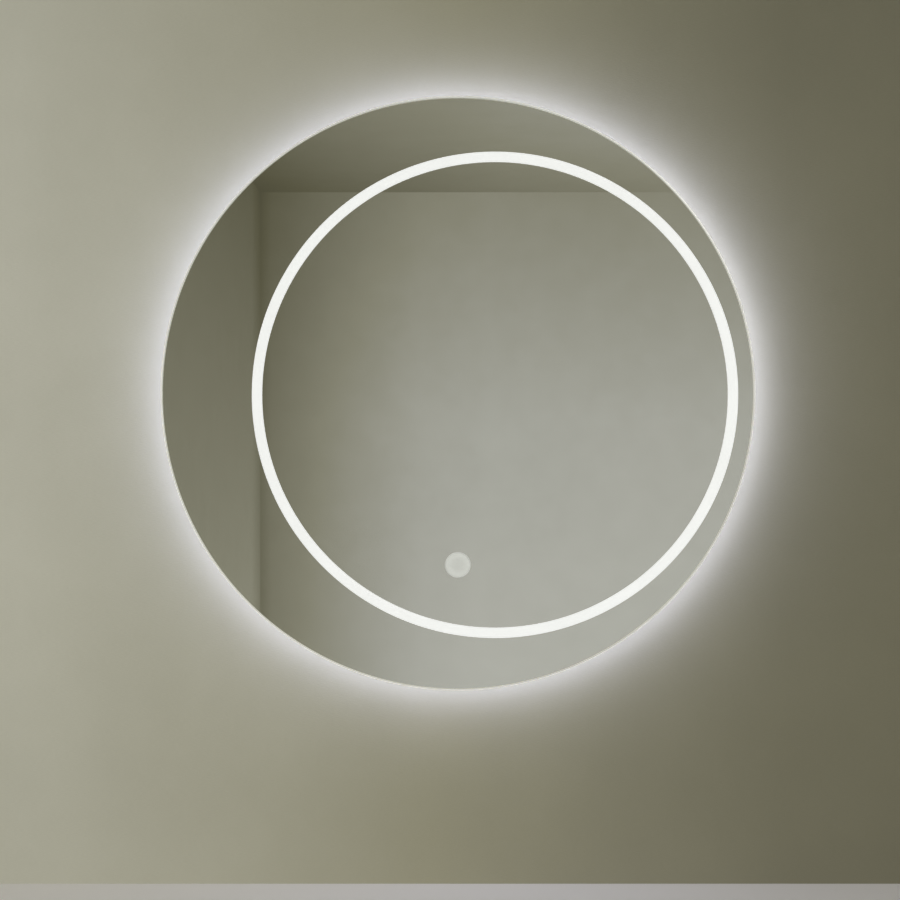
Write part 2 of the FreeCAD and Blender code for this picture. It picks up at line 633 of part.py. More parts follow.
def terminal_block():
    """A push-in block: a square wire entry at each end of every way, and release slots in its front."""
    u, v = TERMINAL_PLACE
    front = DRIVER_BACK + TERMINAL_HEIGHT
    middle = (DRIVER_BACK + front) / 2
    body = centred_block(TERMINAL_PLACE, TERMINAL_LENGTH, TERMINAL_WIDTH, (DRIVER_BACK, front))
    cuts = []
    for way in range(TERMINAL_WAYS):
        way_v = v + (way - (TERMINAL_WAYS - 1) / 2) * TERMINAL_WIDTH / TERMINAL_WAYS
        for side in (-1, 1):
            end_u = u + side * (TERMINAL_LENGTH - TERMINAL_ENTRY_DEPTH) / 2
            cuts.append(centred_block((end_u, way_v), TERMINAL_ENTRY_DEPTH, TERMINAL_ENTRY,
                                      (middle - TERMINAL_ENTRY / 2, middle + TERMINAL_ENTRY / 2)))
            slot_u = u + side * (TERMINAL_LENGTH / 2 - TERMINAL_RELEASE_INSET)
            cuts.append(centred_block((slot_u, way_v), TERMINAL_ENTRY,
                                      TERMINAL_RELEASE_WIDTH, (front - TERMINAL_RELEASE_WIDTH, front)))
    return cut_all(body, cuts)


def earth_tab():
    """A blade connector spot-welded to the back plate, its blade standing up from the foot's right end."""
    foot = centred_block(EARTH_PLACE, EARTH_TAB_FOOT, EARTH_TAB_WIDTH,
                         (PLATE_FRONT, PLATE_FRONT + EARTH_TAB_THICKNESS))
    blade = centred_block((EARTH_BLADE_RIGHT - EARTH_TAB_THICKNESS / 2, EARTH_PLACE[1]),
                          EARTH_TAB_THICKNESS, EARTH_TAB_WIDTH, (PLATE_FRONT, PLATE_FRONT + EARTH_TAB_RISE))
    return merge([foot, blade])


# ---------------------------------------------------------------- leads

def flat_lead(name, points):
    """A flat lead on the back plate, through (u, v) points."""
    face = fillet_face(ribbon_corners(points, LEAD_WIDTH, LEAD_BEND), lambda u, v: at(u, v, PLATE_FRONT))
    lead = outward(face.extrude(TO_FRONT * LEAD_THICKNESS))
    print("%s: %.0f mm along the plate" % (name, lead.Volume / LEAD_WIDTH / LEAD_THICKNESS))
    return lead


def ring_lead():
    """From the driver up to the connector behind the ring channel."""
    v = DRIVER_PLACE[1] + LEAD_PITCH
    end_r = CHANNEL_INNER_R
    approach = polar(end_r - LEAD_APPROACH, RING_FEED_ANGLE, RING_CENTRE)
    return flat_lead("ring_lead", [(DRIVER_OUTPUT, v),
                                   (approach[0], v),
                                   approach,
                                   polar(end_r, RING_FEED_ANGLE, RING_CENTRE)])


def halo_lead():
    """From the driver down the outer lane and under the ring channel to the connector inside the hoop."""
    v = DRIVER_PLACE[1]
    end_r = HOOP_R - CONNECTOR_REACH
    return flat_lead("halo_lead", [(DRIVER_OUTPUT, v),
                                   (OUTER_LANE, v),
                                   (OUTER_LANE, TOUCH_PLACE[1] - HALO_LEAD_DROP),
                                   polar(end_r - LEAD_APPROACH, HALO_FEED_ANGLE),
                                   polar(end_r, HALO_FEED_ANGLE)])


def touch_lead():
    """From the driver down the inner lane, then up off the plate into the touch switch's case."""
    start_v = DRIVER_PLACE[1] - LEAD_PITCH
    case_u, v = TOUCH_PLACE
    entry_u = case_u + TOUCH_CASE_SIZE / 2
    rise_u = entry_u + TOUCH_RISE_LENGTH
    run = flat_lead("touch_lead", [(DRIVER_OUTPUT, start_v),
                                   (INNER_LANE, start_v),
                                   (INNER_LANE, v),
                                   (rise_u, v)])
    low = PLATE_FRONT + LEAD_THICKNESS / 2
    high = TOUCH_FLOOR + LEAD_THICKNESS / 2
    climb = [(rise_u, low),
             (rise_u - TOUCH_RISE_LENGTH / 4, low),
             (entry_u + TOUCH_RISE_LENGTH / 4, high),
             (entry_u - TOUCH_CASE_WALL - TOUCH_CASE_LEDGE, high)]
    face = fillet_face(ribbon_corners(climb, LEAD_THICKNESS, LEAD_BEND),
                       lambda u, depth: at(u, v - LEAD_WIDTH / 2, depth))
    return merge([run, outward(face.extrude(UP * LEAD_WIDTH))])


def mains_lead():
    """Straight from the terminal block to the driver's input end."""
    v = TERMINAL_PLACE[1]
    return flat_lead("mains_lead", [(TERMINAL_RIGHT, v), (DRIVER_INPUT, v)])


def earth_lead():
    """Straight from the terminal block to a push-on socket over the earth tab's blade."""
    v = EARTH_PLACE[1]
    socket_right = EARTH_BLADE_RIGHT + EARTH_SOCKET_WALL
    socket_left = EARTH_BLADE_RIGHT - EARTH_TAB_THICKNESS - EARTH_SOCKET_WALL
    socket_back = PLATE_FRONT + EARTH_TAB_THICKNESS
    half_width = EARTH_TAB_WIDTH / 2 + EARTH_SOCKET_WALL
    lead = flat_lead("earth_lead", [(TERMINAL_LEFT, v), (socket_right, v)])
    socket = block((socket_left, socket_right), (v - half_width, v + half_width),
                   (socket_back, socket_back + EARTH_SOCKET_LENGTH))
    return merge([lead, socket]).cut(earth_tab())


def ring_stub(back, front):
    """The tongue that reaches through the channel's floor towards the strip, at the feed angle."""
    middle_r = CHANNEL_BORE_R + CONNECTOR_STUB_HEIGHT / 2
    stub = centred_block((middle_r, 0.0), CONNECTOR_STUB_HEIGHT, CONNECTOR_STUB_WIDTH, (back, front))
    return turn_to(stub, RING_FEED_ANGLE, RING_CENTRE)


def halo_stub(low_radius, high_radius):
    """The tongue that reaches through the hoop's web to the strip, at the feed angle."""
    half = CONNECTOR_STUB_HEIGHT / 2
    stub = block((low_radius, high_radius), (-CONNECTOR_STUB_WIDTH / 2, CONNECTOR_STUB_WIDTH / 2),
                 (HALO_MIDDLE - half, HALO_MIDDLE + half))
    return turn_to(stub, HALO_FEED_ANGLE)


def strip_connectors():
    """The two clips that feed the LED strips: one behind the ring channel, one inside the hoop."""
    half = CONNECTOR_WIDTH / 2
    ring_body = block((CHANNEL_INNER_R, CHANNEL_OUTER_R), (-half, half), (PLATE_FRONT, CHANNEL_BACK))
    ring_body = turn_to(ring_body, RING_FEED_ANGLE, RING_CENTRE)
    halo_body = block((HOOP_R - CONNECTOR_REACH, HOOP_R + HOOP_WALL), (-half, half),
                      (PLATE_FRONT, HALO_MIDDLE + CONNECTOR_STUB_HEIGHT / 2 + HOOP_WALL))
    halo_body = turn_to(halo_body, HALO_FEED_ANGLE).common(rod(HOOP_R, PLATE_FRONT, HOOP_FRONT))
    halo_tongue = halo_stub(HOOP_R - HOOP_WALL, HOOP_OUTER_R + HOOP_WALL)
    halo_tongue = halo_tongue.common(rod(HOOP_OUTER_R, PLATE_FRONT, HOOP_FRONT))
    return [merge([ring_body, ring_stub(CHANNEL_BACK, RING_STRIP_BACK)]), merge([halo_body, halo_tongue])]


def lead_clip(place):
    """A stick-on saddle over a lead that runs up and down."""
    inner = LEAD_WIDTH / 2 + CLIP_FIT
    outer = inner + CLIP_WALL
    foot = outer + CLIP_FOOT
    foot_top = PLATE_FRONT + CLIP_WALL
    bridge = PLATE_FRONT + LEAD_THICKNESS + CLIP_FIT
    section = [(inner, PLATE_FRONT),
               (foot, PLATE_FRONT),
               (foot, foot_top),
               (outer, foot_top),
               (outer, bridge + CLIP_WALL),
               (-outer, bridge + CLIP_WALL),
               (-outer, foot_top),
               (-foot, foot_top),
               (-foot, PLATE_FRONT),
               (-inner, PLATE_FRONT),
               (-inner, bridge),
               (inner, bridge)]
    low_v = place[1] - CLIP_LENGTH / 2
    face = fillet_face(section, lambda across, depth: at(place[0] + across, low_v, depth))
    return outward(face.extrude(UP * CLIP_LENGTH))


def lead_clips():
    """Clips down each lane."""
    lanes = (INNER_LANE, OUTER_LANE)
    return [lead_clip((lane, -CLIP_PITCH * i)) for lane in lanes for i in range(CLIPS_PER_LANE)]


# ---------------------------------------------------------------- build

def main():
    os.makedirs(OUT, exist_ok=True)
    save("wall_cleat", wall_cleat())
    save("mirror_cleat", mirror_cleat())
    save("mirror_glass", mirror_glass())
    save("silver_backing", silver_backing())
    save("bonding_tape", bonding_tape())
    save("frame_hoop", frame_hoop())
    save("hoop_joiner", hoop_joiner())
    save("halo_led_strip", halo_led_strip())
    save("halo_cover", halo_cover())
    save("ring_channel", ring_channel())
    save("ring_led_strip", ring_led_strip())
    save("ring_diffuser", ring_diffuser())
    save("touch_case", touch_case())
    save("touch_board", touch_board())
    save("touch_leds", *touch_leds())
    save("touch_lens", touch_lens())
    save("back_plate", back_plate())
    save("back_plate_screws", *[plate_screw(place) for place in screw_places()])
    save("wall_pads", *wall_pads())
    save("inlet_grommet", inlet_grommet())
    save("driver_case", driver_case())
    save("driver_end_caps", *driver_end_caps())
    save("foam_pads", *foam_pads())
    save("terminal_block", terminal_block())
    save("earth_tab", earth_tab())
    save("earth_lead", earth_lead())
    save("mains_lead", mains_lead())
    save("ring_lead", ring_lead())
    save("halo_lead", halo_lead())
    save("touch_lead", touch_lead())
    save("strip_connectors", *strip_connectors())
    save("lead_clips", *lead_clips())


main()
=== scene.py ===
"""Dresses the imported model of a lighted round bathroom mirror, and sets it on its wall under soft light."""

import math

import bmesh
import bpy
from bpy.props import FloatProperty, FloatVectorProperty, IntProperty, PointerProperty
from mathutils import Matrix, Vector


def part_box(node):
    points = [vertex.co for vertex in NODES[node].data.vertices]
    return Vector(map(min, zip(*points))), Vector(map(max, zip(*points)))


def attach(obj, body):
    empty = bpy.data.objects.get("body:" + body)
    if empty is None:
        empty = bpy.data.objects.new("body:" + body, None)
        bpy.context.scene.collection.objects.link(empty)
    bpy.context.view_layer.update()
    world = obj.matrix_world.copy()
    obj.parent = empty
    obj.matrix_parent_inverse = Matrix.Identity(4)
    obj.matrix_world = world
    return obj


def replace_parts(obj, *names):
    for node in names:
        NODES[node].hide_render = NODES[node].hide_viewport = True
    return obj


bl_info = {
    "name": "Lighted Round Mirror",
    "version": (1, 0, 0),
    "blender": (4, 5, 0),
    "location": "View3D > Sidebar > Mirror",
    "description": "Details, finishes and stage for a lighted round bathroom mirror",
    "category": "Object",
}

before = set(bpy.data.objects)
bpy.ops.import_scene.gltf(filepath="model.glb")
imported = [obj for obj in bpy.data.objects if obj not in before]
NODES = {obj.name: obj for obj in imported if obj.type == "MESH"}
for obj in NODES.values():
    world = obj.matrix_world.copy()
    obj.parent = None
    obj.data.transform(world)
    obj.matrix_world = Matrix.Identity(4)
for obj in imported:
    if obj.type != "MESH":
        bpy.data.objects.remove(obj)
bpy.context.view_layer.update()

MM = 0.001
UM = 0.000001
GLASS_IOR = 1.52
SCREW_HEAD = 2.0 * MM
CLEAT_STEEL = 2.0 * MM
SMOOTH_BELOW = math.radians(30)
DISC_SIDES, WINDOW_SIDES, FITTING_SIDES = 360, 288, 64


def middle_of(box):
    return (box[0] + box[1]) / 2


GLASS_LOW, GLASS_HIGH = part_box("mirror_glass")
GLASS_FRONT = GLASS_LOW.y
GLASS_RADIUS = min(-GLASS_LOW.x, GLASS_HIGH.x, (GLASS_HIGH.z - GLASS_LOW.z) / 2)
DISC_CENTRE = Vector((0.0, 0.0, (GLASS_LOW.z + GLASS_HIGH.z) / 2))
COAT_LOW, COAT_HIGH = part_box("silver_backing")
RING_CENTRE = middle_of(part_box("ring_diffuser"))
LENS_CENTRE = middle_of(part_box("touch_lens"))
PLATE_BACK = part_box("back_plate_screws")[1].y - SCREW_HEAD
CLEAT_BACK = PLATE_BACK + CLEAT_STEEL
CLEAT_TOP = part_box("mirror_cleat")[1].z


# ---- sizes and colours


def length(name, description, default):
    return FloatProperty(name=name, description=description, default=default,
                         unit="LENGTH", subtype="DISTANCE")


def colour(name, description, default):
    return FloatVectorProperty(name=name, description=description, default=default,
                               size=3, min=0.0, max=1.0, subtype="COLOR")


def amount(name, description, default):
    return FloatProperty(name=name, description=description, default=default, min=0.0)


def watts(name, description, default):
    return FloatProperty(name=name, description=description, default=default, subtype="POWER")


def lean(name, description, default):
    return FloatProperty(name=name, description=description, default=default, min=-1.0, max=1.0)


def count(name, description, default):
    return IntProperty(name=name, description=description, default=default, min=1)


class MirrorSizes(bpy.types.PropertyGroup):
    """Sizes of the small pieces that are modelled here."""

    screw_across_flats: length("Screw Across Flats", "Across the flats of a plate screw's head", 5.5 * MM)
    screw_head: length("Screw Head", "Height of a plate screw's head", SCREW_HEAD)
    screw_flange_radius: length("Screw Flange", "Radius of the washer face under the head", 3.6 * MM)
    screw_circle_radius: length("Screw Circle", "Radius of the screws' circle", 383.55 * MM)
    screw_count: count("Screws", "Number of plate screws", 6)
    arris: length("Arris", "Width of the ground edge of the glass", 2.0 * MM)
    ring_radius: length("Ring Radius", "Middle of the lit ring to its centre", 320.5 * MM)
    ring_width: length("Ring Width", "Width of the lit ring", 14.0 * MM)
    touch_radius: length("Touch Radius", "Radius of the touch window in the silver", 17.5 * MM)
    bush_neck: length("Bush Neck", "Radius of the inlet bush where it goes through the plate", 6.5 * MM)
    bush_bore: length("Bush Bore", "Radius of the inlet bush's bore", 4.0 * MM)
    coat_gap: length("Coat Gap", "Air between the glass and the modelled silver", 0.02 * MM)
    weld_radius: length("Weld Radius", "Radius of a spot weld on the mirror's cleat", 3.2 * MM)
    weld_pitch: length("Weld Pitch", "Distance between spot welds", 48.0 * MM)
    weld_count: count("Welds", "Number of spot welds", 6)


class MirrorColours(bpy.types.PropertyGroup):
    """Colours and light of the finishes."""

    ring_light: colour("Ring Light", "Colour of the lit ring", (0.94, 0.945, 0.935))
    ring_strength: amount("Ring Strength", "Brightness of the lit ring", 0.84)
    halo_light: colour("Halo Light", "Colour of the light behind the mirror", (0.68, 0.705, 1.0))
    halo_strength: amount("Halo Strength", "Brightness of the opal cover behind the mirror", 0.9)
    touch_light: colour("Touch Light", "Colour of the touch spot", (0.60, 0.61, 0.57))
    touch_strength: amount("Touch Strength", "Brightness of the touch spot", 0.765)
    # Painted light: the ground edge of the glass glows, though it is no lamp.
    edge_painted_glow: colour("Edge Light", "Light that the ground edge of the glass gives off", (1.0, 0.98, 0.90))
    edge_painted_glow_strength: amount("Edge Strength", "Brightness of the ground edge", 0.36)
    silver: colour("Silver", "Tint of the silvering", (0.965, 0.965, 0.96))
    coat_back: colour("Coat Back", "Paint behind the silver", (0.16, 0.165, 0.17))
    hoop: colour("Hoop", "Satin anodised aluminium", (0.66, 0.66, 0.65))
    steel: colour("Steel", "Galvanised steel", (0.66, 0.67, 0.68))
    plate: colour("Plate", "Powder coat of the back plate", (0.66, 0.65, 0.655))
    rubber: colour("Rubber", "Pads and inlet bush", (0.028, 0.028, 0.03))


class StageSettings(bpy.types.PropertyGroup):
    """Wall, floor, reflected room, lights and camera."""

    # Painted light and shade: lit and shaded copies of the wall's colour, mixed from left to right.
    wall_painted_shade: colour("Wall Shade", "Wall colour away from the light", (0.40, 0.386, 0.29))
    wall_painted_light: colour("Wall Light", "Wall colour on the lit side", (0.40, 0.395, 0.35))
    floor: colour("Floor", "Pale floor", (0.80, 0.785, 0.765))
    floor_height: length("Floor Height", "Height of the floor from the wall cleat's screws", -0.899)
    room_depth: length("Room Depth", "Mirror wall to the wall behind the viewer", 4.0)
    camera_distance: length("Camera Distance", "Front of the glass to the camera", 2.5)
    camera_right: length("Camera Right", "Camera to the right of the glass's middle", -0.0106)
    camera_height: length("Camera Height", "Height of the camera from the wall cleat's screws", -0.3063)
    lens: FloatProperty(name="Lens", description="Focal length in millimetres", default=74.36,
                        subtype="DISTANCE_CAMERA")
    key_power: watts("Key Light", "Soft light from the left", 3.0)
    halo_power: watts("Halo Light", "Light that the opal cover throws on the wall", 1.37)
    halo_lean: lean("Halo Lean", "How much stronger the light is on the right", 0.28)
    halo_rise: lean("Halo Rise", "How much stronger the light is at the top", 0.06)
    halo_lights: count("Halo Lights", "Lights round the opal cover", 36)
    rear_power: watts("Rear Light", "Soft light on the back", 21.0)


# ---- building materials from nodes


def add_group(name, ins, outs):
    """A node group with named inputs and outputs: (its tree, its input node, its output node)."""
    tree = bpy.data.node_groups.new(name, "ShaderNodeTree")
    for label, kind, default in ins:
        socket = tree.interface.new_socket(label, in_out="INPUT", socket_type=kind)
        if default is not None:
            socket.default_value = default
    for label, kind in outs:
        tree.interface.new_socket(label, in_out="OUTPUT", socket_type=kind)
    return tree, tree.nodes.new("NodeGroupInput"), tree.nodes.new("NodeGroupOutput")


def feed(tree, socket, value):
    """Links a socket, or sets its value."""
    if isinstance(value, bpy.types.NodeSocket):
        tree.links.new(value, socket)
    elif value is not None:
        if socket.type == "RGBA" and len(value) == 3:
            value = (*value, 1.0)
        socket.default_value = value


def wire(tree, node, **values):
    """Links or sets inputs of a node, named with _ for each space."""
    for label, value in values.items():
        feed(tree, node.inputs[label.replace("_", " ")], value)


def math_node(tree, operation, a, b=None):
    node = tree.nodes.new("ShaderNodeMath")
    node.operation = operation
    feed(tree, node.inputs[0], a)
    feed(tree, node.inputs[1], b)
    return node.outputs[0]


def times(tree, a, b):
    return math_node(tree, "MULTIPLY", a, b)


def vector_node(tree, operation, a, b=None):
    node = tree.nodes.new("ShaderNodeVectorMath")
    node.operation = operation
    feed(tree, node.inputs[0], a)
    feed(tree, node.inputs[1], b)
    return node


def map_range(tree, value, low, high, to_low=0.0, to_high=1.0):
    node = tree.nodes.new("ShaderNodeMapRange")
    wire(tree, node, Value=value, From_Min=low, From_Max=high, To_Min=to_low, To_Max=to_high)
    return node.outputs["Result"]


def mix_colour(tree, mask, a, b, blend="MIX"):
    node = tree.nodes.new("ShaderNodeMix")
    node.data_type = "RGBA"
    node.blend_type = blend
    feed(tree, node.inputs["Factor"], mask)
    for socket, tone in zip([s for s in node.inputs if s.type == "RGBA"], (a, b)):
        feed(tree, socket, tone)
    return [s for s in node.outputs if s.type == "RGBA"][0]


def noise(tree, place, scale, detail=2.0, roughness=0.5):
    node = tree.nodes.new("ShaderNodeTexNoise")
    wire(tree, node, Vector=place, Scale=scale, Detail=detail, Roughness=roughness)
    return node.outputs["Fac"]


def stretched(tree, place, scale):
    """The place, scaled by a constant along each axis."""
    return vector_node(tree, "MULTIPLY", place, scale).outputs["Vector"]


def object_place(tree):
    return tree.nodes.new("ShaderNodeTexCoord").outputs["Object"]


def split(tree, place):
    """The X, Y and Z of a place."""
    node = tree.nodes.new("ShaderNodeSeparateXYZ")
    feed(tree, node.inputs[0], place)
    return node.outputs


def split_place(tree):
    return split(tree, object_place(tree))


def distance_from(tree, centre):
    """Distance from an axis through centre that runs into the wall."""
    offset = vector_node(tree, "SUBTRACT", object_place(tree), centre).outputs["Vector"]
    return vector_node(tree, "LENGTH", stretched(tree, offset, (1.0, 0.0, 1.0))).outputs["Value"]


def ramp(tree, value, stops):
    """A colour or a level of grey, by stops of (position, tone)."""
    node = tree.nodes.new("ShaderNodeValToRGB")
    band = node.color_ramp
    while len(band.elements) < len(stops):
        band.elements.new(0.5)
    for element, (position, tone) in zip(band.elements, stops):
        element.position = position
        element.color = (*tone, 1.0) if isinstance(tone, tuple) else (tone, tone, tone, 1.0)
    feed(tree, node.inputs["Fac"], value)
    return node.outputs["Color"]


def node_of(tree, kind):
    return next(node for node in tree.nodes if node.type == kind)


PLACE = ("Place", "NodeSocketVector", None)
TONES = [("Dark", "NodeSocketColor", None), ("Light", "NodeSocketColor", None)]
FACE = [("Colour", "NodeSocketColor"), ("Height", "NodeSocketFloat"), ("Roughness", "NodeSocketFloat")]


def build_mottle():
    """Slow variation between two colours, as in every sprayed, cast or aged surface."""
    tree, ins, outs = add_group(
        "Mottle", [PLACE, ("Scale", "NodeSocketFloat", 20.0), *TONES],
        [("Colour", "NodeSocketColor"), ("Mask", "NodeSocketFloat")])
    mask = map_range(tree, noise(tree, ins.outputs["Place"], ins.outputs["Scale"], 4.0, 0.6), 0.32, 0.68)
    tone = mix_colour(tree, mask, ins.outputs["Dark"], ins.outputs["Light"])
    wire(tree, outs, Colour=tone, Mask=mask)
    return tree


def build_grain():
    """Fine bumps, such as the peel of powder coat or the grain of moulded plastic."""
    tree, ins, outs = add_group(
        "Grain",
        [PLACE, ("Scale", "NodeSocketFloat", 900.0),
         ("Low", "NodeSocketFloat", 0.3), ("High", "NodeSocketFloat", 0.5)],
        [("Height", "NodeSocketFloat"), ("Roughness", "NodeSocketFloat")])
    height = noise(tree, ins.outputs["Place"], ins.outputs["Scale"], 3.0, 0.55)
    wide = noise(tree, stretched(tree, ins.outputs["Place"], (23.0, 23.0, 23.0)), 1.0, 3.0, 0.6)
    gloss = map_range(tree, wide, 0.3, 0.7, ins.outputs["Low"], ins.outputs["High"])
    wire(tree, outs, Height=height, Roughness=gloss)
    return tree


def build_rolled():
    """Fine lines round the middle of the disc, as rolling and brushing leave on the hoop."""
    lines_per_metre, runs_per_radian = 2600.0, 6.0
    tree, ins, outs = add_group("Rolled Lines", [PLACE, *TONES], FACE)
    offset = vector_node(tree, "SUBTRACT", ins.outputs["Place"], DISC_CENTRE)
    across, depth, up = split(tree, offset.outputs["Vector"])
    square = math_node(tree, "ADD", times(tree, across, across), times(tree, up, up))
    angle = math_node(tree, "ARCTAN2", up, across)
    joined = tree.nodes.new("ShaderNodeCombineXYZ")
    feed(tree, joined.inputs[0], times(tree, math_node(tree, "SQRT", square), lines_per_metre))
    feed(tree, joined.inputs[1], times(tree, depth, lines_per_metre))
    feed(tree, joined.inputs[2], times(tree, angle, runs_per_radian))
    lines = noise(tree, joined.outputs[0], 1.0, 4.0, 0.7)
    wide = noise(tree, ins.outputs["Place"], 14.0, 3.0, 0.6)
    gloss = math_node(tree, "ADD", times(tree, lines, 0.5), times(tree, wide, 0.5))
    mask = map_range(tree, lines, 0.3, 0.7)
    tone = mix_colour(tree, mask, ins.outputs["Dark"], ins.outputs["Light"])
    wire(tree, outs, Colour=tone, Height=lines, Roughness=map_range(tree, gloss, 0.35, 0.65, 0.24, 0.42))
    return tree


def build_spangle():
    """Zinc crystals of hot-dip galvanising."""
    tree, ins, outs = add_group("Spangle", [PLACE, ("Scale", "NodeSocketFloat", 160.0), *TONES], FACE)
    cells = tree.nodes.new("ShaderNodeTexVoronoi")
    wire(tree, cells, Vector=ins.outputs["Place"], Scale=ins.outputs["Scale"])
    channels = tree.nodes.new("ShaderNodeSeparateColor")
    feed(tree, channels.inputs[0], cells.outputs["Color"])
    fine = noise(tree, ins.outputs["Place"], 420.0, 3.0, 0.6)
    flake = math_node(tree, "ADD", times(tree, channels.outputs[0], 0.7), times(tree, fine, 0.3))
    tone = mix_colour(tree, flake, ins.outputs["Dark"], ins.outputs["Light"])
    gloss = map_range(tree, channels.outputs[1], 0.0, 1.0, 0.30, 0.52)
    wire(tree, outs, Colour=tone, Height=flake, Roughness=gloss)
    return tree


BUILDERS = {"mottle": build_mottle, "grain": build_grain, "rolled": build_rolled, "spangle": build_spangle}
EFFECTS = {}


def effect(tree, name, **values):
    """Places a shared effect in a material, reading the object's own coordinates."""
    if name not in EFFECTS:
        EFFECTS[name] = BUILDERS[name]()
    node = tree.nodes.new("ShaderNodeGroup")
    node.node_tree = EFFECTS[name]
    wire(tree, node, Place=object_place(tree), **values)
    return node.outputs


def new_finish(name):
    """An empty material: (material, tree, its Principled shader)."""
    material = bpy.data.materials.new(name)
    material.use_nodes = True
    tree = material.node_tree
    tree.nodes.clear()
    shader = tree.nodes.new("ShaderNodeBsdfPrincipled")
    sink = tree.nodes.new("ShaderNodeOutputMaterial")
    tree.links.new(shader.outputs["BSDF"], sink.inputs["Surface"])
    return material, tree, shader


def bump(tree, shader, height, distance):
    node = tree.nodes.new("ShaderNodeBump")
    wire(tree, node, Strength=1.0, Distance=distance, Height=height)
    feed(tree, shader.inputs["Normal"], node.outputs["Normal"])


def shade(tone, factor):
    return tuple(min(1.0, channel * factor) for channel in tone)


def shades(tone, below, above):
    """The two ends of a tone's variation."""
    return {"Dark": shade(tone, below), "Light": shade(tone, above)}


def dress(names, material):
    """Gives CAD nodes a finish in all their material slots."""
    for name in names:
        data = NODES[name].data
        data.materials.clear()
        data.materials.append(material)


def moulded(name, tone, low=0.32, high=0.5, metallic=0.0, contrast=0.12, scale=26.0, grain=900.0,
            depth=40 * UM):
    """Plastic, rubber or paint: slow colour variation, grain, and varying gloss."""
    material, tree, shader = new_finish(name)
    base = effect(tree, "mottle", Scale=scale, **shades(tone, 1 - contrast, 1 + contrast))
    skin = effect(tree, "grain", Scale=grain, Low=low, High=high)
    wire(tree, shader, Base_Color=base["Colour"], Roughness=skin["Roughness"], Metallic=metallic)
    bump(tree, shader, skin["Height"], depth)
    return material


def glowing(name, tone, strength, body=(0.78, 0.78, 0.77), contrast=0.03):
    """Opal plastic, lit from behind."""
    material, tree, shader = new_finish(name)
    light = effect(tree, "mottle", Scale=18.0, **shades(tone, 1 - contrast, 1.0))
    skin = effect(tree, "grain", Scale=1200.0, Low=0.38, High=0.5)
    wire(tree, shader, Base_Color=body, Roughness=skin["Roughness"], Emission_Color=light["Colour"],
         Emission_Strength=strength)
    bump(tree, shader, skin["Height"], 20 * UM)
    return material


def metal(name, skin, depth, **values):
    """Bare metal that takes its colour, gloss and grain from one effect."""
    material, tree, shader = new_finish(name)
    face = effect(tree, skin, **values)
    wire(tree, shader, Base_Color=face["Colour"], Roughness=face["Roughness"], Metallic=1.0)
    bump(tree, shader, face["Height"], depth)
    return material


# ---- modelled pieces


def turned(mesh, profile, segments, place, closed=False):
    """Spins (radius, height) corners round the local Z axis, and puts the shape in its place."""
    corners = [mesh.verts.new((radius, 0.0, height)) for radius, height in profile]
    chain = [mesh.edges.new(pair) for pair in zip(corners, corners[1:] + corners[:1 if closed else 0])]
    made = bmesh.ops.spin(mesh, geom=corners + chain, cent=(0, 0, 0), axis=(0, 0, 1), dvec=(0, 0, 0),
                          angle=math.tau, steps=segments, use_merge=True, use_duplicate=False)
    last = [g for g in made["geom_last"] if isinstance(g, bmesh.types.BMVert)]
    shape = linked_verts(v for v in corners + last if v.is_valid)
    bmesh.ops.remove_doubles(mesh, verts=shape, dist=UM)
    bmesh.ops.transform(mesh, matrix=place, verts=linked_verts(v for v in shape if v.is_valid))


def linked_verts(seeds):
    """All corners joined to the given ones, in the order that they are met."""
    found = dict.fromkeys(seeds)
    queue = list(found)
    while queue:
        for edge in queue.pop().link_edges:
            for vert in edge.verts:
                if vert not in found:
                    found[vert] = True
                    queue.append(vert)
    return list(found)


def finish_piece(mesh, name, body, slot, *materials):
    """Turns a bmesh into an object at the origin that rides on a body. Its shallow edges shade smooth."""
    bmesh.ops.remove_doubles(mesh, verts=mesh.verts, dist=0.5 * UM)
    bmesh.ops.recalc_face_normals(mesh, faces=mesh.faces)
    for face in mesh.faces:
        face.smooth = True
    for edge in mesh.edges:
        edge.smooth = len(edge.link_faces) == 2 and edge.calc_face_angle() < SMOOTH_BELOW
    data = bpy.data.meshes.new(name)
    mesh.to_mesh(data)
    mesh.free()
    piece = bpy.data.objects.new(name, data)
    bpy.context.scene.collection.objects.link(piece)
    for material in materials:
        data.materials.append(material)
    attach(piece, body)
    return piece


def to_wall(x, y, z):
    """Puts a shape made along local Z at a place on the mirror, with its Z towards the wall."""
    return Matrix.Translation((x, y, z)) @ Matrix.Rotation(-math.pi / 2, 4, "X")


def ring_of_edges(mesh, centre, radius, depth, segments):
    """A round loop of edges that faces the wall: its edges."""
    place = to_wall(centre.x, depth, centre.z)
    made = bmesh.ops.create_circle(mesh, cap_ends=False, radius=radius, segments=segments, matrix=place)
    return list(dict.fromkeys(edge for vert in made["verts"] for edge in vert.link_edges))


def thicken(mesh, faces, depth):
    """Pulls flat faces into a slab that reaches towards the wall."""
    grown = bmesh.ops.extrude_face_region(mesh, geom=faces, use_keep_orig=True)
    verts = [g for g in grown["geom"] if isinstance(g, bmesh.types.BMVert)]
    bmesh.ops.translate(mesh, vec=(0, depth, 0), verts=verts)


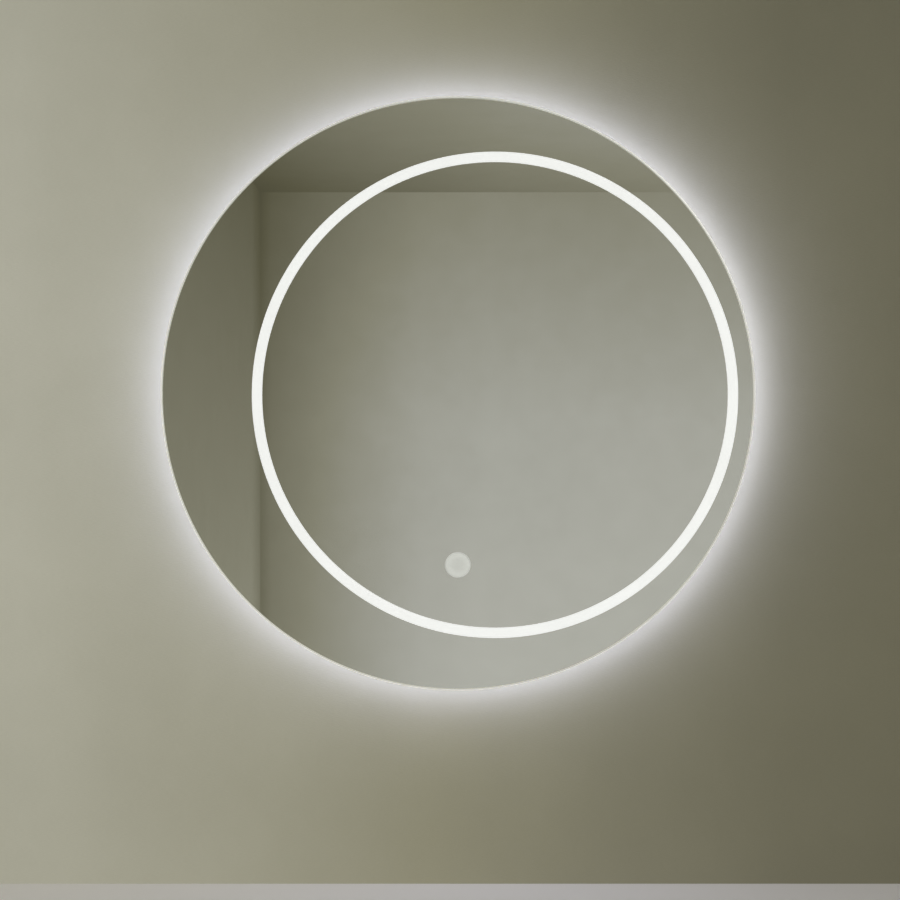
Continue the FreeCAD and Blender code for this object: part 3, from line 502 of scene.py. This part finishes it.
def hex_head(mesh, across, height, base, place):
    """A hexagonal head with a chamfered rim and a dished top."""
    chamfer, land, dish, dish_depth = height * 0.2, across * 0.14, across * 0.07, height * 0.18
    made = bmesh.ops.create_circle(mesh, cap_ends=True, radius=across / math.sqrt(3), segments=6)
    verts = made["verts"]
    bmesh.ops.translate(mesh, vec=(0, 0, base), verts=verts)
    grown = bmesh.ops.extrude_face_region(mesh, geom=[verts[0].link_faces[0]])
    top = [g for g in grown["geom"] if isinstance(g, bmesh.types.BMFace)][0]
    bmesh.ops.translate(mesh, vec=(0, 0, height), verts=top.verts)
    bmesh.ops.bevel(mesh, geom=list(top.edges), offset=chamfer, segments=2, profile=0.5,
                    affect="EDGES", material=-1)
    faces = (f for v in linked_verts(verts) for f in v.link_faces)
    top = max(faces, key=lambda f: f.calc_center_median().z)
    bmesh.ops.inset_region(mesh, faces=[top], thickness=land, depth=0.0)
    bmesh.ops.inset_region(mesh, faces=[top], thickness=dish, depth=-dish_depth)
    bmesh.ops.transform(mesh, matrix=place, verts=linked_verts(top.verts))


class MIRROR_OT_plate_screws(bpy.types.Operator):
    """Make the flanged hexagon screws that hold the back plate"""

    bl_idname = "mirror.plate_screws"
    bl_label = "Plate Screws"

    def execute(self, context):
        sizes = context.scene.mirror_sizes
        material = metal("screw_zinc", "spangle", 30 * UM, Scale=700.0, Dark=(0.50, 0.51, 0.52),
                         Light=(0.66, 0.67, 0.67))
        low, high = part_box("back_plate_screws")
        mesh = bmesh.new()
        flange, rim = sizes.screw_head * 0.3, sizes.screw_flange_radius
        shank, thread, turns, head_turn = 1.25 * MM, 1.45 * MM, 6, 0.35
        washer_sides, thread_sides = 36, 20
        reach = (high.y - low.y) - sizes.screw_head
        washer = [(0.0, 0.0), (rim * 0.6, 0.0), (rim, 0.0), (rim, flange * 0.4), (rim * 0.88, flange),
                  (0.0, flange * 1.1)]
        tip = [(0.0, -reach), (shank * 0.7, -reach)]
        for turn in range(turns):
            top = -reach + (turn + 0.5) * reach / turns
            tip += [(shank, top - reach / turns * 0.4), (thread, top), (shank, top + reach / turns * 0.4)]
        for i in range(sizes.screw_count):
            angle = math.tau * (i + 0.5) / sizes.screw_count
            place = to_wall(DISC_CENTRE.x + sizes.screw_circle_radius * math.cos(angle),
                            high.y - sizes.screw_head,
                            DISC_CENTRE.z + sizes.screw_circle_radius * math.sin(angle))
            turned(mesh, washer, washer_sides, place)
            turned(mesh, tip + [(shank, 0.0), (0.0, 0.0)], thread_sides, place)
            hex_head(mesh, sizes.screw_across_flats, sizes.screw_head - flange, flange,
                     place @ Matrix.Rotation(head_turn * i, 4, "Z"))
        piece = finish_piece(mesh, "plate_screws", "mirror", "screw_zinc", material)
        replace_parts(piece, "back_plate_screws")
        return {"FINISHED"}


class MIRROR_OT_rubber(bpy.types.Operator):
    """Make the wall pads and the mains inlet bush"""

    bl_idname = "mirror.rubber"
    bl_label = "Pads and Inlet Bush"

    def execute(self, context):
        material = moulded("pad_rubber", context.scene.mirror_colours.rubber, 0.5, 0.75, contrast=0.25,
                           scale=70.0, grain=1500.0, depth=80 * UM)
        low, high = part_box("wall_pads")
        base, tall = (high.z - low.z) / 2, high.y - low.y
        outline = [(0.0, 0.0), (base, 0.0), (base, tall * 0.08), (base * 0.86, tall * 0.84),
                   (base * 0.835, tall * 0.91), (base * 0.79, tall * 0.97), (base * 0.72, tall),
                   (base * 0.30, tall), (base * 0.26, tall * 0.93), (0.0, tall * 0.93)]
        mesh = bmesh.new()
        for x in (low.x + base, high.x - base):
            turned(mesh, outline, FITTING_SIDES, to_wall(x, low.y, (low.z + high.z) / 2))
        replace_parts(finish_piece(mesh, "wall_bumpers", "mirror", "pad_rubber", material), "wall_pads")

        sizes = context.scene.mirror_sizes
        low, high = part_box("inlet_grommet")
        flange, neck, bore = (high.x - low.x) / 2, sizes.bush_neck, sizes.bush_bore
        rear, front, turn = high.y - PLATE_BACK, low.y - PLATE_BACK, 0.35 * MM
        outline = [(bore + turn, front), (neck - turn, front), (neck, front + turn), (neck, 0.0),
                   (flange, 0.0), (flange, rear * 0.55), (flange - turn * 0.7, rear * 0.86),
                   (flange - turn * 2, rear), (bore + turn * 2, rear),
                   (bore + turn * 0.6, rear - turn * 0.6), (bore, rear - turn * 2), (bore, front + turn)]
        mesh = bmesh.new()
        place = to_wall((low.x + high.x) / 2, PLATE_BACK, (low.z + high.z) / 2)
        turned(mesh, outline, FITTING_SIDES, place, closed=True)
        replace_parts(finish_piece(mesh, "inlet_bush", "mirror", "pad_rubber", material), "inlet_grommet")
        return {"FINISHED"}


class MIRROR_OT_cleat_welds(bpy.types.Operator):
    """Make the spot welds that hold the upper cleat to the back plate"""

    bl_idname = "mirror.cleat_welds"
    bl_label = "Cleat Welds"

    def execute(self, context):
        sizes = context.scene.mirror_sizes
        material, tree, shader = new_finish("weld_mark")
        steel = effect(tree, "mottle", Scale=900.0, Dark=(0.16, 0.15, 0.16), Light=(0.42, 0.40, 0.38))
        wire(tree, shader, Base_Color=steel["Colour"], Metallic=1.0,
             Roughness=map_range(tree, steel["Mask"], 0.0, 1.0, 0.55, 0.38))
        bump(tree, shader, steel["Mask"], 40 * UM)
        mesh = bmesh.new()
        radius, sunk, rim = sizes.weld_radius, -0.1 * MM, 0.2 * MM
        outline = [(0.0, sunk), (radius, sunk), (radius, 0.0), (radius * 0.9, rim * 0.6),
                   (radius * 0.78, rim), (radius * 0.66, rim * 0.6), (radius * 0.5, rim * 0.2),
                   (0.0, rim * 0.15)]
        below_top, sides = 9 * MM, 32
        start = -sizes.weld_pitch * (sizes.weld_count - 1) / 2
        for i in range(sizes.weld_count):
            place = to_wall(start + sizes.weld_pitch * i, CLEAT_BACK, CLEAT_TOP - below_top)
            turned(mesh, outline, sides, place)
        finish_piece(mesh, "cleat_welds", "mirror", "galvanised_steel", material)
        return {"FINISHED"}


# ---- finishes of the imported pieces


class MIRROR_OT_glass(bpy.types.Operator):
    """Finish the glass, its silver and the paint behind the silver"""

    bl_idname = "mirror.glass"
    bl_label = "Glass and Silver"

    def execute(self, context):
        colours, sizes = context.scene.mirror_colours, context.scene.mirror_sizes
        self.glass_piece(sizes, self.clear_finish(), self.edge_finish(colours))
        self.silver_piece(sizes, self.silver_finish(colours))
        return {"FINISHED"}

    def clear_finish(self):
        """Clear glass, a little green in its depth."""
        material, tree, shader = new_finish("clear_glass")
        skin = effect(tree, "grain", Scale=30.0, Low=0.0, High=0.012)
        tint = effect(tree, "mottle", Scale=3.0, Dark=(0.985, 0.99, 0.985), Light=(0.995, 0.998, 0.995))
        wire(tree, shader, Base_Color=tint["Colour"], Roughness=skin["Roughness"],
             Transmission_Weight=1.0, IOR=GLASS_IOR)
        body = tree.nodes.new("ShaderNodeVolumeAbsorption")
        body.inputs["Color"].default_value = (0.62, 0.86, 0.76, 1.0)
        body.inputs["Density"].default_value = 4.0
        tree.links.new(body.outputs["Volume"], node_of(tree, "OUTPUT_MATERIAL").inputs["Volume"])
        return material

    def edge_finish(self, colours):
        """Ground glass, with a painted glow that stands in for some of the light that runs inside the disc.
        """
        material, tree, shader = new_finish("ground_edge")
        skin = effect(tree, "grain", Scale=2200.0, Low=0.4, High=0.6)
        tint = effect(tree, "mottle", Scale=60.0, Dark=(0.86, 0.87, 0.80), Light=(0.96, 0.96, 0.90))
        # Painted light: the glow of the ground edge.
        light = effect(tree, "mottle", Scale=35.0, **shades(colours.edge_painted_glow, 0.92, 1.0))
        wire(tree, shader, Base_Color=tint["Colour"], Roughness=skin["Roughness"],
             Emission_Color=light["Colour"], Emission_Strength=colours.edge_painted_glow_strength,
             Transmission_Weight=0.25, IOR=GLASS_IOR)
        bump(tree, shader, skin["Height"], 20 * UM)
        return material

    def silver_finish(self, colours):
        """Bright silver on the side of the glass, grey paint behind."""
        material, tree, shader = new_finish("silver_coat")
        painted = math_node(tree, "GREATER_THAN", split_place(tree)[1], (COAT_LOW.y + COAT_HIGH.y) / 2)
        silver = effect(tree, "mottle", Scale=2.5, **shades(colours.silver, 0.985, 1.0))
        back = effect(tree, "mottle", Scale=40.0, **shades(colours.coat_back, 0.85, 1.15))
        skin = effect(tree, "grain", Scale=600.0, Low=0.4, High=0.55)
        wire(tree, shader, Base_Color=mix_colour(tree, painted, silver["Colour"], back["Colour"]),
             Metallic=math_node(tree, "SUBTRACT", 1.0, painted),
             Roughness=times(tree, painted, skin["Roughness"]))
        return material

    def glass_piece(self, sizes, clear, ground):
        """The disc, with its ground edge as a second finish."""
        mesh = bmesh.new()
        radius, arris, thick = GLASS_RADIUS, sizes.arris, GLASS_HIGH.y - GLASS_LOW.y
        outline = [(0.0, 0.0), (radius - arris, 0.0), (radius, arris), (radius, thick - arris),
                   (radius - arris, thick), (0.0, thick)]
        turned(mesh, outline, DISC_SIDES, to_wall(DISC_CENTRE.x, GLASS_LOW.y, DISC_CENTRE.z))
        for face in mesh.faces:
            across = face.calc_center_median() - DISC_CENTRE
            if Vector((across.x, across.z)).length > radius - arris:
                face.material_index = 1
        piece = finish_piece(mesh, "glass_disc", "mirror", "clear_glass", clear, ground)
        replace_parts(piece, "mirror_glass")

    def silver_piece(self, sizes, material):
        """The silver and its paint, open at the lit ring and the touch spot."""
        mesh = bmesh.new()
        depth = COAT_LOW.y + sizes.coat_gap
        half = sizes.ring_width / 2
        circles = ((DISC_CENTRE, (COAT_HIGH.x - COAT_LOW.x) / 2), (RING_CENTRE, sizes.ring_radius + half),
                   (RING_CENTRE, sizes.ring_radius - half), (LENS_CENTRE, sizes.touch_radius))
        outer, wide, narrow, touch = [
            ring_of_edges(mesh, *circle, depth, WINDOW_SIDES) for circle in circles]
        bmesh.ops.bridge_loops(mesh, edges=outer + wide)
        bmesh.ops.bridge_loops(mesh, edges=narrow + touch)
        thicken(mesh, list(mesh.faces), COAT_HIGH.y - depth)
        piece = finish_piece(mesh, "silver_coat", "mirror", "silver_coat", material)
        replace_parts(piece, "silver_backing")


class MIRROR_OT_lamps(bpy.types.Operator):
    """Finish the lit ring, the halo cover and the touch spot, with the strips behind them"""

    bl_idname = "mirror.lamps"
    bl_label = "Lit Parts"

    def execute(self, context):
        colours = context.scene.mirror_colours
        dress(["ring_diffuser"], glowing("ring_opal", colours.ring_light, colours.ring_strength))
        dress(["halo_cover"], self.cover_finish(colours))
        dress(["touch_lens"], self.touch_finish(colours, context.scene.mirror_sizes))
        dress(["touch_leds"], glowing("led_package", (1.0, 0.97, 0.9), 1.5, (0.8, 0.75, 0.5)))
        strip = moulded("led_sleeve", (0.80, 0.74, 0.52), 0.15, 0.3, contrast=0.2, scale=500.0)
        dress(["halo_led_strip", "ring_led_strip"], strip)
        return {"FINISHED"}

    def touch_finish(self, colours, sizes):
        """An opal lens, brighter round its rim than in the middle."""
        material = glowing("touch_opal", colours.touch_light, colours.touch_strength)
        tree = material.node_tree
        reach = map_range(tree, distance_from(tree, LENS_CENTRE), 0.0, sizes.touch_radius)
        self.dim(tree, ramp(tree, reach, [
            (0.0, 0.86), (0.40, 0.87), (0.58, 0.96), (0.70, 1.0), (0.86, 1.0), (0.95, 0.86), (1.0, 0.6)]))
        return material

    def cover_finish(self, colours):
        """The opal cover, brightest along its middle, where the strip is nearest."""
        low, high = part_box("halo_cover")
        material = glowing("opal_cover", colours.halo_light, colours.halo_strength, contrast=0.05)
        tree = material.node_tree
        across = map_range(tree, split_place(tree)[1], low.y, high.y)
        self.dim(tree, ramp(tree, across, [
            (0.0, 0.42), (0.22, 0.74), (0.5, 1.0), (0.78, 0.74), (1.0, 0.42)]))
        return material

    def dim(self, tree, tone):
        """Multiplies the light of a glowing finish by a tone."""
        light = node_of(tree, "BSDF_PRINCIPLED").inputs["Emission Color"]
        feed(tree, light, mix_colour(tree, 1.0, light.links[0].from_socket, tone, "MULTIPLY"))


class MIRROR_OT_metal(bpy.types.Operator):
    """Finish the hoop, the ring channel, the back plate and both cleats"""

    bl_idname = "mirror.metal"
    bl_label = "Metal Parts"

    def execute(self, context):
        colours = context.scene.mirror_colours
        dress(["frame_hoop", "hoop_joiner"],
              metal("hoop_aluminium", "rolled", 6 * UM, **shades(colours.hoop, 0.86, 1.1)))
        dress(["wall_cleat", "mirror_cleat"],
              metal("galvanised_steel", "spangle", 30 * UM, **shades(colours.steel, 0.88, 1.10)))
        dress(["back_plate"], moulded("plate_paint", colours.plate, 0.36, 0.52, contrast=0.02, scale=9.0,
                                      grain=1100.0, depth=80 * UM))
        dress(["ring_channel"], moulded("channel_paint", (0.72, 0.72, 0.70), 0.4, 0.55, contrast=0.04))
        dress(["earth_tab"],
              moulded("tinned_brass", (0.62, 0.60, 0.52), 0.25, 0.4, metallic=1.0, scale=120.0))
        return {"FINISHED"}


class MIRROR_OT_fittings(bpy.types.Operator):
    """Finish the tape, the touch switch, the driver and the wiring"""

    bl_idname = "mirror.fittings"
    bl_label = "Plastic and Wiring"

    def execute(self, context):
        dress(["bonding_tape", "foam_pads"],
              moulded("foam_tape", (0.68, 0.68, 0.66), 0.7, 0.85, contrast=0.1, scale=300.0, grain=1800.0,
                      depth=200 * UM))
        dress(["touch_case", "lead_clips"], moulded("sensor_shell", (0.74, 0.74, 0.73)))
        dress(["touch_board"],
              moulded("circuit_board", (0.76, 0.79, 0.76), 0.3, 0.45, contrast=0.06, scale=400.0))
        dress(["driver_case", "driver_end_caps"], moulded("driver_shell", (0.76, 0.76, 0.75), 0.35, 0.5))
        dress(["terminal_block", "strip_connectors"],
              moulded("terminal_nylon", (0.66, 0.65, 0.60), 0.35, 0.55))
        dress(["mains_lead", "ring_lead", "halo_lead", "touch_lead"],
              moulded("lead_sleeve", (0.78, 0.78, 0.76), 0.4, 0.55, contrast=0.05))
        dress(["earth_lead"], self.earth_finish())
        return {"FINISHED"}

    def earth_finish(self):
        """Green sleeve with a yellow stripe along it."""
        half_stripe, yellow = 0.6 * MM, (0.80, 0.62, 0.03)
        material, tree, shader = new_finish("earth_sleeve")
        low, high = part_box("earth_lead")
        off_middle = math_node(tree, "SUBTRACT", split_place(tree)[2], (low.z + high.z) / 2)
        stripe = math_node(tree, "LESS_THAN", math_node(tree, "ABSOLUTE", off_middle), half_stripe)
        green = effect(tree, "mottle", Scale=60.0, Dark=(0.02, 0.16, 0.03), Light=(0.03, 0.22, 0.05))
        skin = effect(tree, "grain", Scale=900.0, Low=0.35, High=0.5)
        wire(tree, shader, Base_Color=mix_colour(tree, stripe, green["Colour"], yellow),
             Roughness=skin["Roughness"])
        bump(tree, shader, skin["Height"], 30 * UM)
        return material


# ---- stage

# Painted light: ramp of the wall's glow.
WALL_PAINTED_LIGHT_TONES = [(0.0, (0.0, 0.0, 0.0)), (0.11, (0.111, 0.105, 0.062)), (0.24, (0.240, 0.236, 0.185)),
              (0.40, (0.402, 0.396, 0.340)), (1.0, (1.0, 1.0, 0.95))]
# Painted light and shade: ramp of the reflected room's glow.
ROOM_PAINTED_LIGHT_TONES = [(0.0, (0.0, 0.0, 0.0)), (0.10, (0.105, 0.098, 0.060)), (0.24, (0.246, 0.237, 0.178)),
              (0.40, (0.405, 0.399, 0.356)), (1.0, (1.0, 1.0, 0.95))]
# Painted light: ramp of the floor's glow.
FLOOR_PAINTED_LIGHT_TONES = [(0.0, (0.125, 0.118, 0.106)), (0.10, (0.14, 0.134, 0.122)), (0.34, (0.20, 0.196, 0.182)),
               (0.8, (0.33, 0.328, 0.315))]
PICTURE = 900.0
SENSOR_MM = 36.0


def panel(name, corner, across, up, material):
    """A flat stage panel that faces across x up."""
    mesh = bmesh.new()
    made = bmesh.ops.create_grid(mesh, x_segments=1, y_segments=1, size=0.5)
    across, up = Vector(across), Vector(up)
    turn = Matrix((across, up, across.cross(up).normalized())).transposed().to_4x4()
    middle = Vector(corner) + (across + up) / 2
    bmesh.ops.transform(mesh, matrix=Matrix.Translation(middle) @ turn, verts=made["verts"])
    data = bpy.data.meshes.new(name)
    mesh.to_mesh(data)
    mesh.free()
    data.materials.append(material)
    shown = bpy.data.objects.new(name, data)
    bpy.context.scene.collection.objects.link(shown)
    return shown


def one_way(material):
    """Lets the view through the back of a stage panel."""
    tree = material.node_tree
    sink = node_of(tree, "OUTPUT_MATERIAL")
    front = sink.inputs["Surface"].links[0].from_socket
    clear = tree.nodes.new("ShaderNodeBsdfTransparent")
    mix = tree.nodes.new("ShaderNodeMixShader")
    feed(tree, mix.inputs["Fac"], tree.nodes.new("ShaderNodeNewGeometry").outputs["Backfacing"])
    tree.links.new(front, mix.inputs[1])
    tree.links.new(clear.outputs[0], mix.inputs[2])
    tree.links.new(mix.outputs[0], sink.inputs["Surface"])


def room_panel(name, brightness):
    """A wall of the room behind the viewer that glows softly with painted light and shade. brightness(tree,
    x, y, z) gives its tone.
    """
    material = bpy.data.materials.new(name)
    material.use_nodes = True
    tree = material.node_tree
    tree.nodes.clear()
    sink = tree.nodes.new("ShaderNodeOutputMaterial")
    painted_glow = tree.nodes.new("ShaderNodeEmission")
    grain = map_range(tree, noise(tree, object_place(tree), 9.0, 6.0, 0.7), 0.3, 0.7, 0.97, 1.03)
    tone = times(tree, brightness(tree, *split_place(tree)), grain)
    feed(tree, painted_glow.inputs["Color"], ramp(tree, tone, ROOM_PAINTED_LIGHT_TONES))
    tree.links.new(painted_glow.outputs[0], sink.inputs["Surface"])
    material.cycles.emission_sampling = "NONE"
    one_way(material)
    return material


def facing_out(aim):
    """A turn that points local -Z along aim, and local Y along the depth of the mirror."""
    depth = Vector((0, 1, 0))
    return Matrix((aim.cross(depth), depth, -aim)).transposed()


class MIRROR_OT_stage(bpy.types.Operator):
    """Make the wall, the floor, the reflected room, the lights and the camera"""

    bl_idname = "mirror.stage"
    bl_label = "Stage, Lights and Camera"

    def execute(self, context):
        stage = context.scene.mirror_stage
        self.camera(context.scene, stage)
        surfaces = [self.wall(stage)] + self.floor(stage)
        self.room(stage)
        self.lights(context.scene, stage, surfaces)
        return {"FINISHED"}

    def camera(self, scene, stage):
        data = bpy.data.cameras.new("camera")
        data.lens = stage.lens
        camera = bpy.data.objects.new("camera", data)
        camera.location = (DISC_CENTRE.x + stage.camera_right, GLASS_FRONT - stage.camera_distance,
                           stage.camera_height)
        camera.rotation_euler = (math.pi / 2, 0.0, 0.0)
        scene.collection.objects.link(camera)
        scene.camera = camera
        scene.view_settings.view_transform = "Standard"

    def wall(self, stage):
        material, tree, shader = new_finish("wall_plaster")
        x, _, z = split_place(tree)
        cloud = noise(tree, object_place(tree), 3.0, 5.0, 0.6)
        weave = noise(tree, stretched(tree, object_place(tree), (1.0, 1.0, 9.0)), 160.0, 2.0, 0.6)
        worn = times(tree, map_range(tree, cloud, 0.3, 0.7, 0.95, 1.05),
                     map_range(tree, weave, 0.3, 0.7, 0.975, 1.025))
        # Painted light and shade: the base colour runs from the lit copy on the left to the shaded copy on
        # the right.
        tone = mix_colour(tree, map_range(tree, x, -0.62, 0.45), stage.wall_painted_light, stage.wall_painted_shade)
        toned = vector_node(tree, "SCALE", tone)
        feed(tree, toned.inputs["Scale"], worn)
        # Painted light: the wall glows, brightest on the left where the key light falls, fading to the right
        # and away from the height z = -0.15.
        over = ramp(tree, map_range(tree, x, -0.60, 0.60), [
            (0.0, 0.275), (0.2, 0.225), (0.37, 0.165), (0.54, 0.110), (0.71, 0.055), (0.88, 0.020),
            (1.0, 0.015)])
        off_middle = math_node(tree, "ABSOLUTE", math_node(tree, "ADD", z, 0.15))
        painted_glow = times(tree, times(tree, over, map_range(tree, off_middle, 0.0, 0.75, 1.0, 0.82)), worn)
        wire(tree, shader, Base_Color=toned.outputs["Vector"], Emission_Color=ramp(tree, painted_glow, WALL_PAINTED_LIGHT_TONES),
             Emission_Strength=1.0, Roughness=map_range(tree, cloud, 0.3, 0.7, 0.75, 0.9),
             Specular_IOR_Level=0.2)
        material.cycles.emission_sampling = "NONE"
        bump(tree, shader, weave, 200 * UM)
        one_way(material)
        width, height = 6.4, 2.6
        wall = panel("stage_wall", (-width / 2, 0.0, stage.floor_height), (width, 0, 0), (0, 0, height),
                     material)
        wall.visible_shadow = False
        return wall

    def floor(self, stage):
        """The floor under the mirror, and a slope that carries it down and away behind the viewer. Both glow
        with painted light, dimmest along the wall's line and brighter away from it.
        """
        material, tree, shader = new_finish("floor_pale")
        tone = effect(tree, "mottle", Scale=1.5, **shades(stage.floor, 0.985, 1.015))
        skin = effect(tree, "grain", Scale=120.0, Low=0.5, High=0.62)
        # Painted light: the floor's glow grows with the distance from the wall's line.
        away = map_range(tree, math_node(tree, "ABSOLUTE", split_place(tree)[1]), 0.0, 5.0)
        wire(tree, shader, Base_Color=tone["Colour"], Roughness=skin["Roughness"],
             Emission_Color=ramp(tree, away, FLOOR_PAINTED_LIGHT_TONES), Emission_Strength=1.0)
        material.cycles.emission_sampling = "NONE"
        near, far, back, drop, width = -1.6, -7.0, 6.0, 1.57, 12.0
        across = (width, 0, 0)
        return [panel("stage_floor", (-width / 2, near, stage.floor_height), across, (0, back - near, 0),
                      material),
                panel("stage_floor_slope", (-width / 2, far, stage.floor_height - drop), across,
                      (0, near - far, drop), material)]

    def room(self, stage):
        """Panels for the reflection, set out from the room's corner as the picture shows it, in pixels. Their
        glow is painted light and shade, darker into the corners.
        """
        corner_column, ceiling_row, pitch_pixels = 260, 192, 400
        width, ceiling_depth, side_depth = 3.2, 3.2, 2.5
        reach = stage.camera_distance + stage.room_depth + GLASS_FRONT
        pixel = SENSOR_MM / stage.lens / PICTURE * reach
        corner_x = stage.camera_right + (corner_column - PICTURE / 2) * pixel
        ceiling_z = stage.camera_height + (PICTURE / 2 - ceiling_row) * pixel
        pitch = pitch_pixels * pixel
        span, ceiling_shade_reach, corner_shade_reach = pitch * 1.25, 1.6, 0.28
        floor_z = stage.floor_height - 0.8
        back_y = -stage.room_depth

        def far_tone(tree, x, _, z):
            # Painted shade: darker towards the corner with the side wall and towards the ceiling.
            over = map_range(tree, x, corner_x, corner_x + span)
            down = map_range(tree, z, ceiling_z, ceiling_z - span)
            level = ramp(tree, over, [(0.0, 0.33), (0.022, 0.43), (0.08, 0.52), (0.20, 0.73),
                                      (0.32, 0.92), (0.45, 1.0), (1.0, 1.0)])
            fall = ramp(tree, down, [(0.0, 0.25), (0.06, 0.265), (0.25, 0.325), (0.46, 0.397),
                                     (0.76, 0.438), (1.0, 0.452)])
            return times(tree, level, fall)

        def ceiling_tone(tree, x, y, _):
            # Painted shade: darker towards the corner with the side wall and towards the far wall.
            over = map_range(tree, x, corner_x, corner_x + span)
            near = map_range(tree, y, back_y, back_y + ceiling_shade_reach)
            level = ramp(tree, over, [(0.0, 0.42), (0.2, 0.68), (0.5, 0.98), (1.0, 1.25)])
            return times(tree, level, map_range(tree, near, 0.0, 1.0, 0.19, 0.29))

        def side_tone(tree, _, y, z):
            # Painted shade: darker towards the corner with the far wall and towards the ceiling.
            corner = map_range(tree, y, back_y, back_y + corner_shade_reach, 0.74, 1.0)
            return times(tree, corner, map_range(tree, z, ceiling_z, ceiling_z - pitch, 0.11, 0.25))

        up = (0, 0, ceiling_z - floor_z)
        for name, corner, across, side, finish, tone in (
                ("stage_far_wall", (corner_x + width, back_y, floor_z), (-width, 0, 0), up,
                 "far_wall", far_tone),
                ("stage_ceiling", (corner_x + width, back_y, ceiling_z), (-width, 0, 0),
                 (0, ceiling_depth, 0), "ceiling", ceiling_tone),
                ("stage_side_wall", (corner_x, back_y, floor_z), (0, side_depth, 0), up,
                 "side_wall", side_tone)):
            panel(name, corner, across, side, room_panel(finish, tone)).visible_camera = False

    def lights(self, scene, stage, surfaces):
        self.soft_light("key_light", stage.key_power, (0.9, 0.9), (-1.55, -1.25, -0.15),
                        (0.0, -0.02, -0.25), (1.0, 0.985, 0.94))
        for name, share, size, place in (("rear_light", 1.0, 0.8, (1.5, 0.9, 1.0)),
                                         ("rear_fill", 0.45, 1.4, (-1.3, 2.2, 0.2))):
            light = self.soft_light(name, stage.rear_power * share, (size, size), place,
                                    (0.0, 0.0, -0.23), (1.0, 0.99, 0.97))
            light.visible_glossy = True
            self.keep_off(light, surfaces)
        self.halo_lights(scene, stage)
        world = bpy.data.worlds.new("soft_room")
        world.use_nodes = True
        tree = world.node_tree
        sky = tree.nodes["Background"]
        sky.inputs["Color"].default_value = (0.62, 0.62, 0.60, 1.0)
        diffuse = tree.nodes.new("ShaderNodeLightPath").outputs["Is Diffuse Ray"]
        feed(tree, sky.inputs["Strength"], map_range(tree, diffuse, 0.0, 1.0, 0.75, 0.2))
        scene.world = world

    def keep_off(self, light, surfaces):
        """Lets a light fall on the mirror alone, and not on the stage."""
        spared = bpy.data.collections.new(light.name + "_spares")
        for surface in surfaces:
            spared.objects.link(surface)
        light.light_linking.receiver_collection = spared
        for entry in spared.collection_objects:
            entry.light_linking.link_state = "EXCLUDE"

    def halo_lights(self, scene, stage):
        """Lights on the opal cover, facing outwards all round, that move with the mirror."""
        low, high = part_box("halo_cover")
        radius = (high.x - low.x) / 2 + 0.5 * MM
        depth = (low.y + high.y) / 2
        size = (math.tau * radius / stage.halo_lights, high.y - low.y)
        for i in range(stage.halo_lights):
            angle = math.tau * (i + 0.5) / stage.halo_lights
            out = Vector((math.cos(angle), 0.0, math.sin(angle)))
            place = DISC_CENTRE + out * radius
            place.y = depth
            power = stage.halo_power / stage.halo_lights * (
                1.0 + stage.halo_lean * math.cos(angle) + stage.halo_rise * math.sin(angle))
            light = self.soft_light(f"halo_light_{i}", power, size, place, place + out,
                                    scene.mirror_colours.halo_light)
            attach(light, "mirror")

    def soft_light(self, name, power, size, place, target, tone):
        """A rectangular light aimed at target. One that faces along the wall keeps its height along Y."""
        data = bpy.data.lights.new(name, "AREA")
        data.shape = "RECTANGLE"
        data.energy = power
        data.size, data.size_y = size
        data.color = tone
        light = bpy.data.objects.new(name, data)
        aim = (Vector(target) - Vector(place)).normalized()
        along_wall = abs(aim.y) < 0.001
        if along_wall:
            light.matrix_world = Matrix.Translation(place) @ facing_out(aim).to_4x4()
        else:
            light.location = place
            light.rotation_euler = aim.to_track_quat("-Z", "Y").to_euler()
        light.visible_camera = light.visible_glossy = light.visible_transmission = False
        bpy.context.scene.collection.objects.link(light)
        return light


# ---- panel and registration


class MIRROR_PT_sidebar(bpy.types.Panel):
    """Shows the settings and the operators"""

    bl_label = "Lighted Round Mirror"
    bl_idname = "MIRROR_PT_sidebar"
    bl_space_type = "VIEW_3D"
    bl_region_type = "UI"
    bl_category = "Mirror"

    def draw(self, context):
        for group in ("mirror_sizes", "mirror_colours", "mirror_stage"):
            box = self.layout.box()
            settings = getattr(context.scene, group)
            for name in settings.__annotations__:
                box.prop(settings, name)
        for operator in OPERATORS:
            self.layout.operator(operator.bl_idname)


OPERATORS = (MIRROR_OT_stage, MIRROR_OT_glass, MIRROR_OT_lamps, MIRROR_OT_metal, MIRROR_OT_fittings,
             MIRROR_OT_plate_screws, MIRROR_OT_rubber, MIRROR_OT_cleat_welds)
GROUPS = (MirrorSizes, MirrorColours, StageSettings)


def register():
    for item in GROUPS + OPERATORS + (MIRROR_PT_sidebar,):
        bpy.utils.register_class(item)
    bpy.types.Scene.mirror_sizes = PointerProperty(type=MirrorSizes)
    bpy.types.Scene.mirror_colours = PointerProperty(type=MirrorColours)
    bpy.types.Scene.mirror_stage = PointerProperty(type=StageSettings)


def unregister():
    del bpy.types.Scene.mirror_stage
    del bpy.types.Scene.mirror_colours
    del bpy.types.Scene.mirror_sizes
    for item in reversed(GROUPS + OPERATORS + (MIRROR_PT_sidebar,)):
        bpy.utils.unregister_class(item)


def main():
    register()
    bpy.ops.mirror.stage()
    bpy.ops.mirror.glass()
    bpy.ops.mirror.lamps()
    bpy.ops.mirror.metal()
    bpy.ops.mirror.fittings()
    bpy.ops.mirror.plate_screws()
    bpy.ops.mirror.rubber()
    bpy.ops.mirror.cleat_welds()


if __name__ == "__main__":
    main()
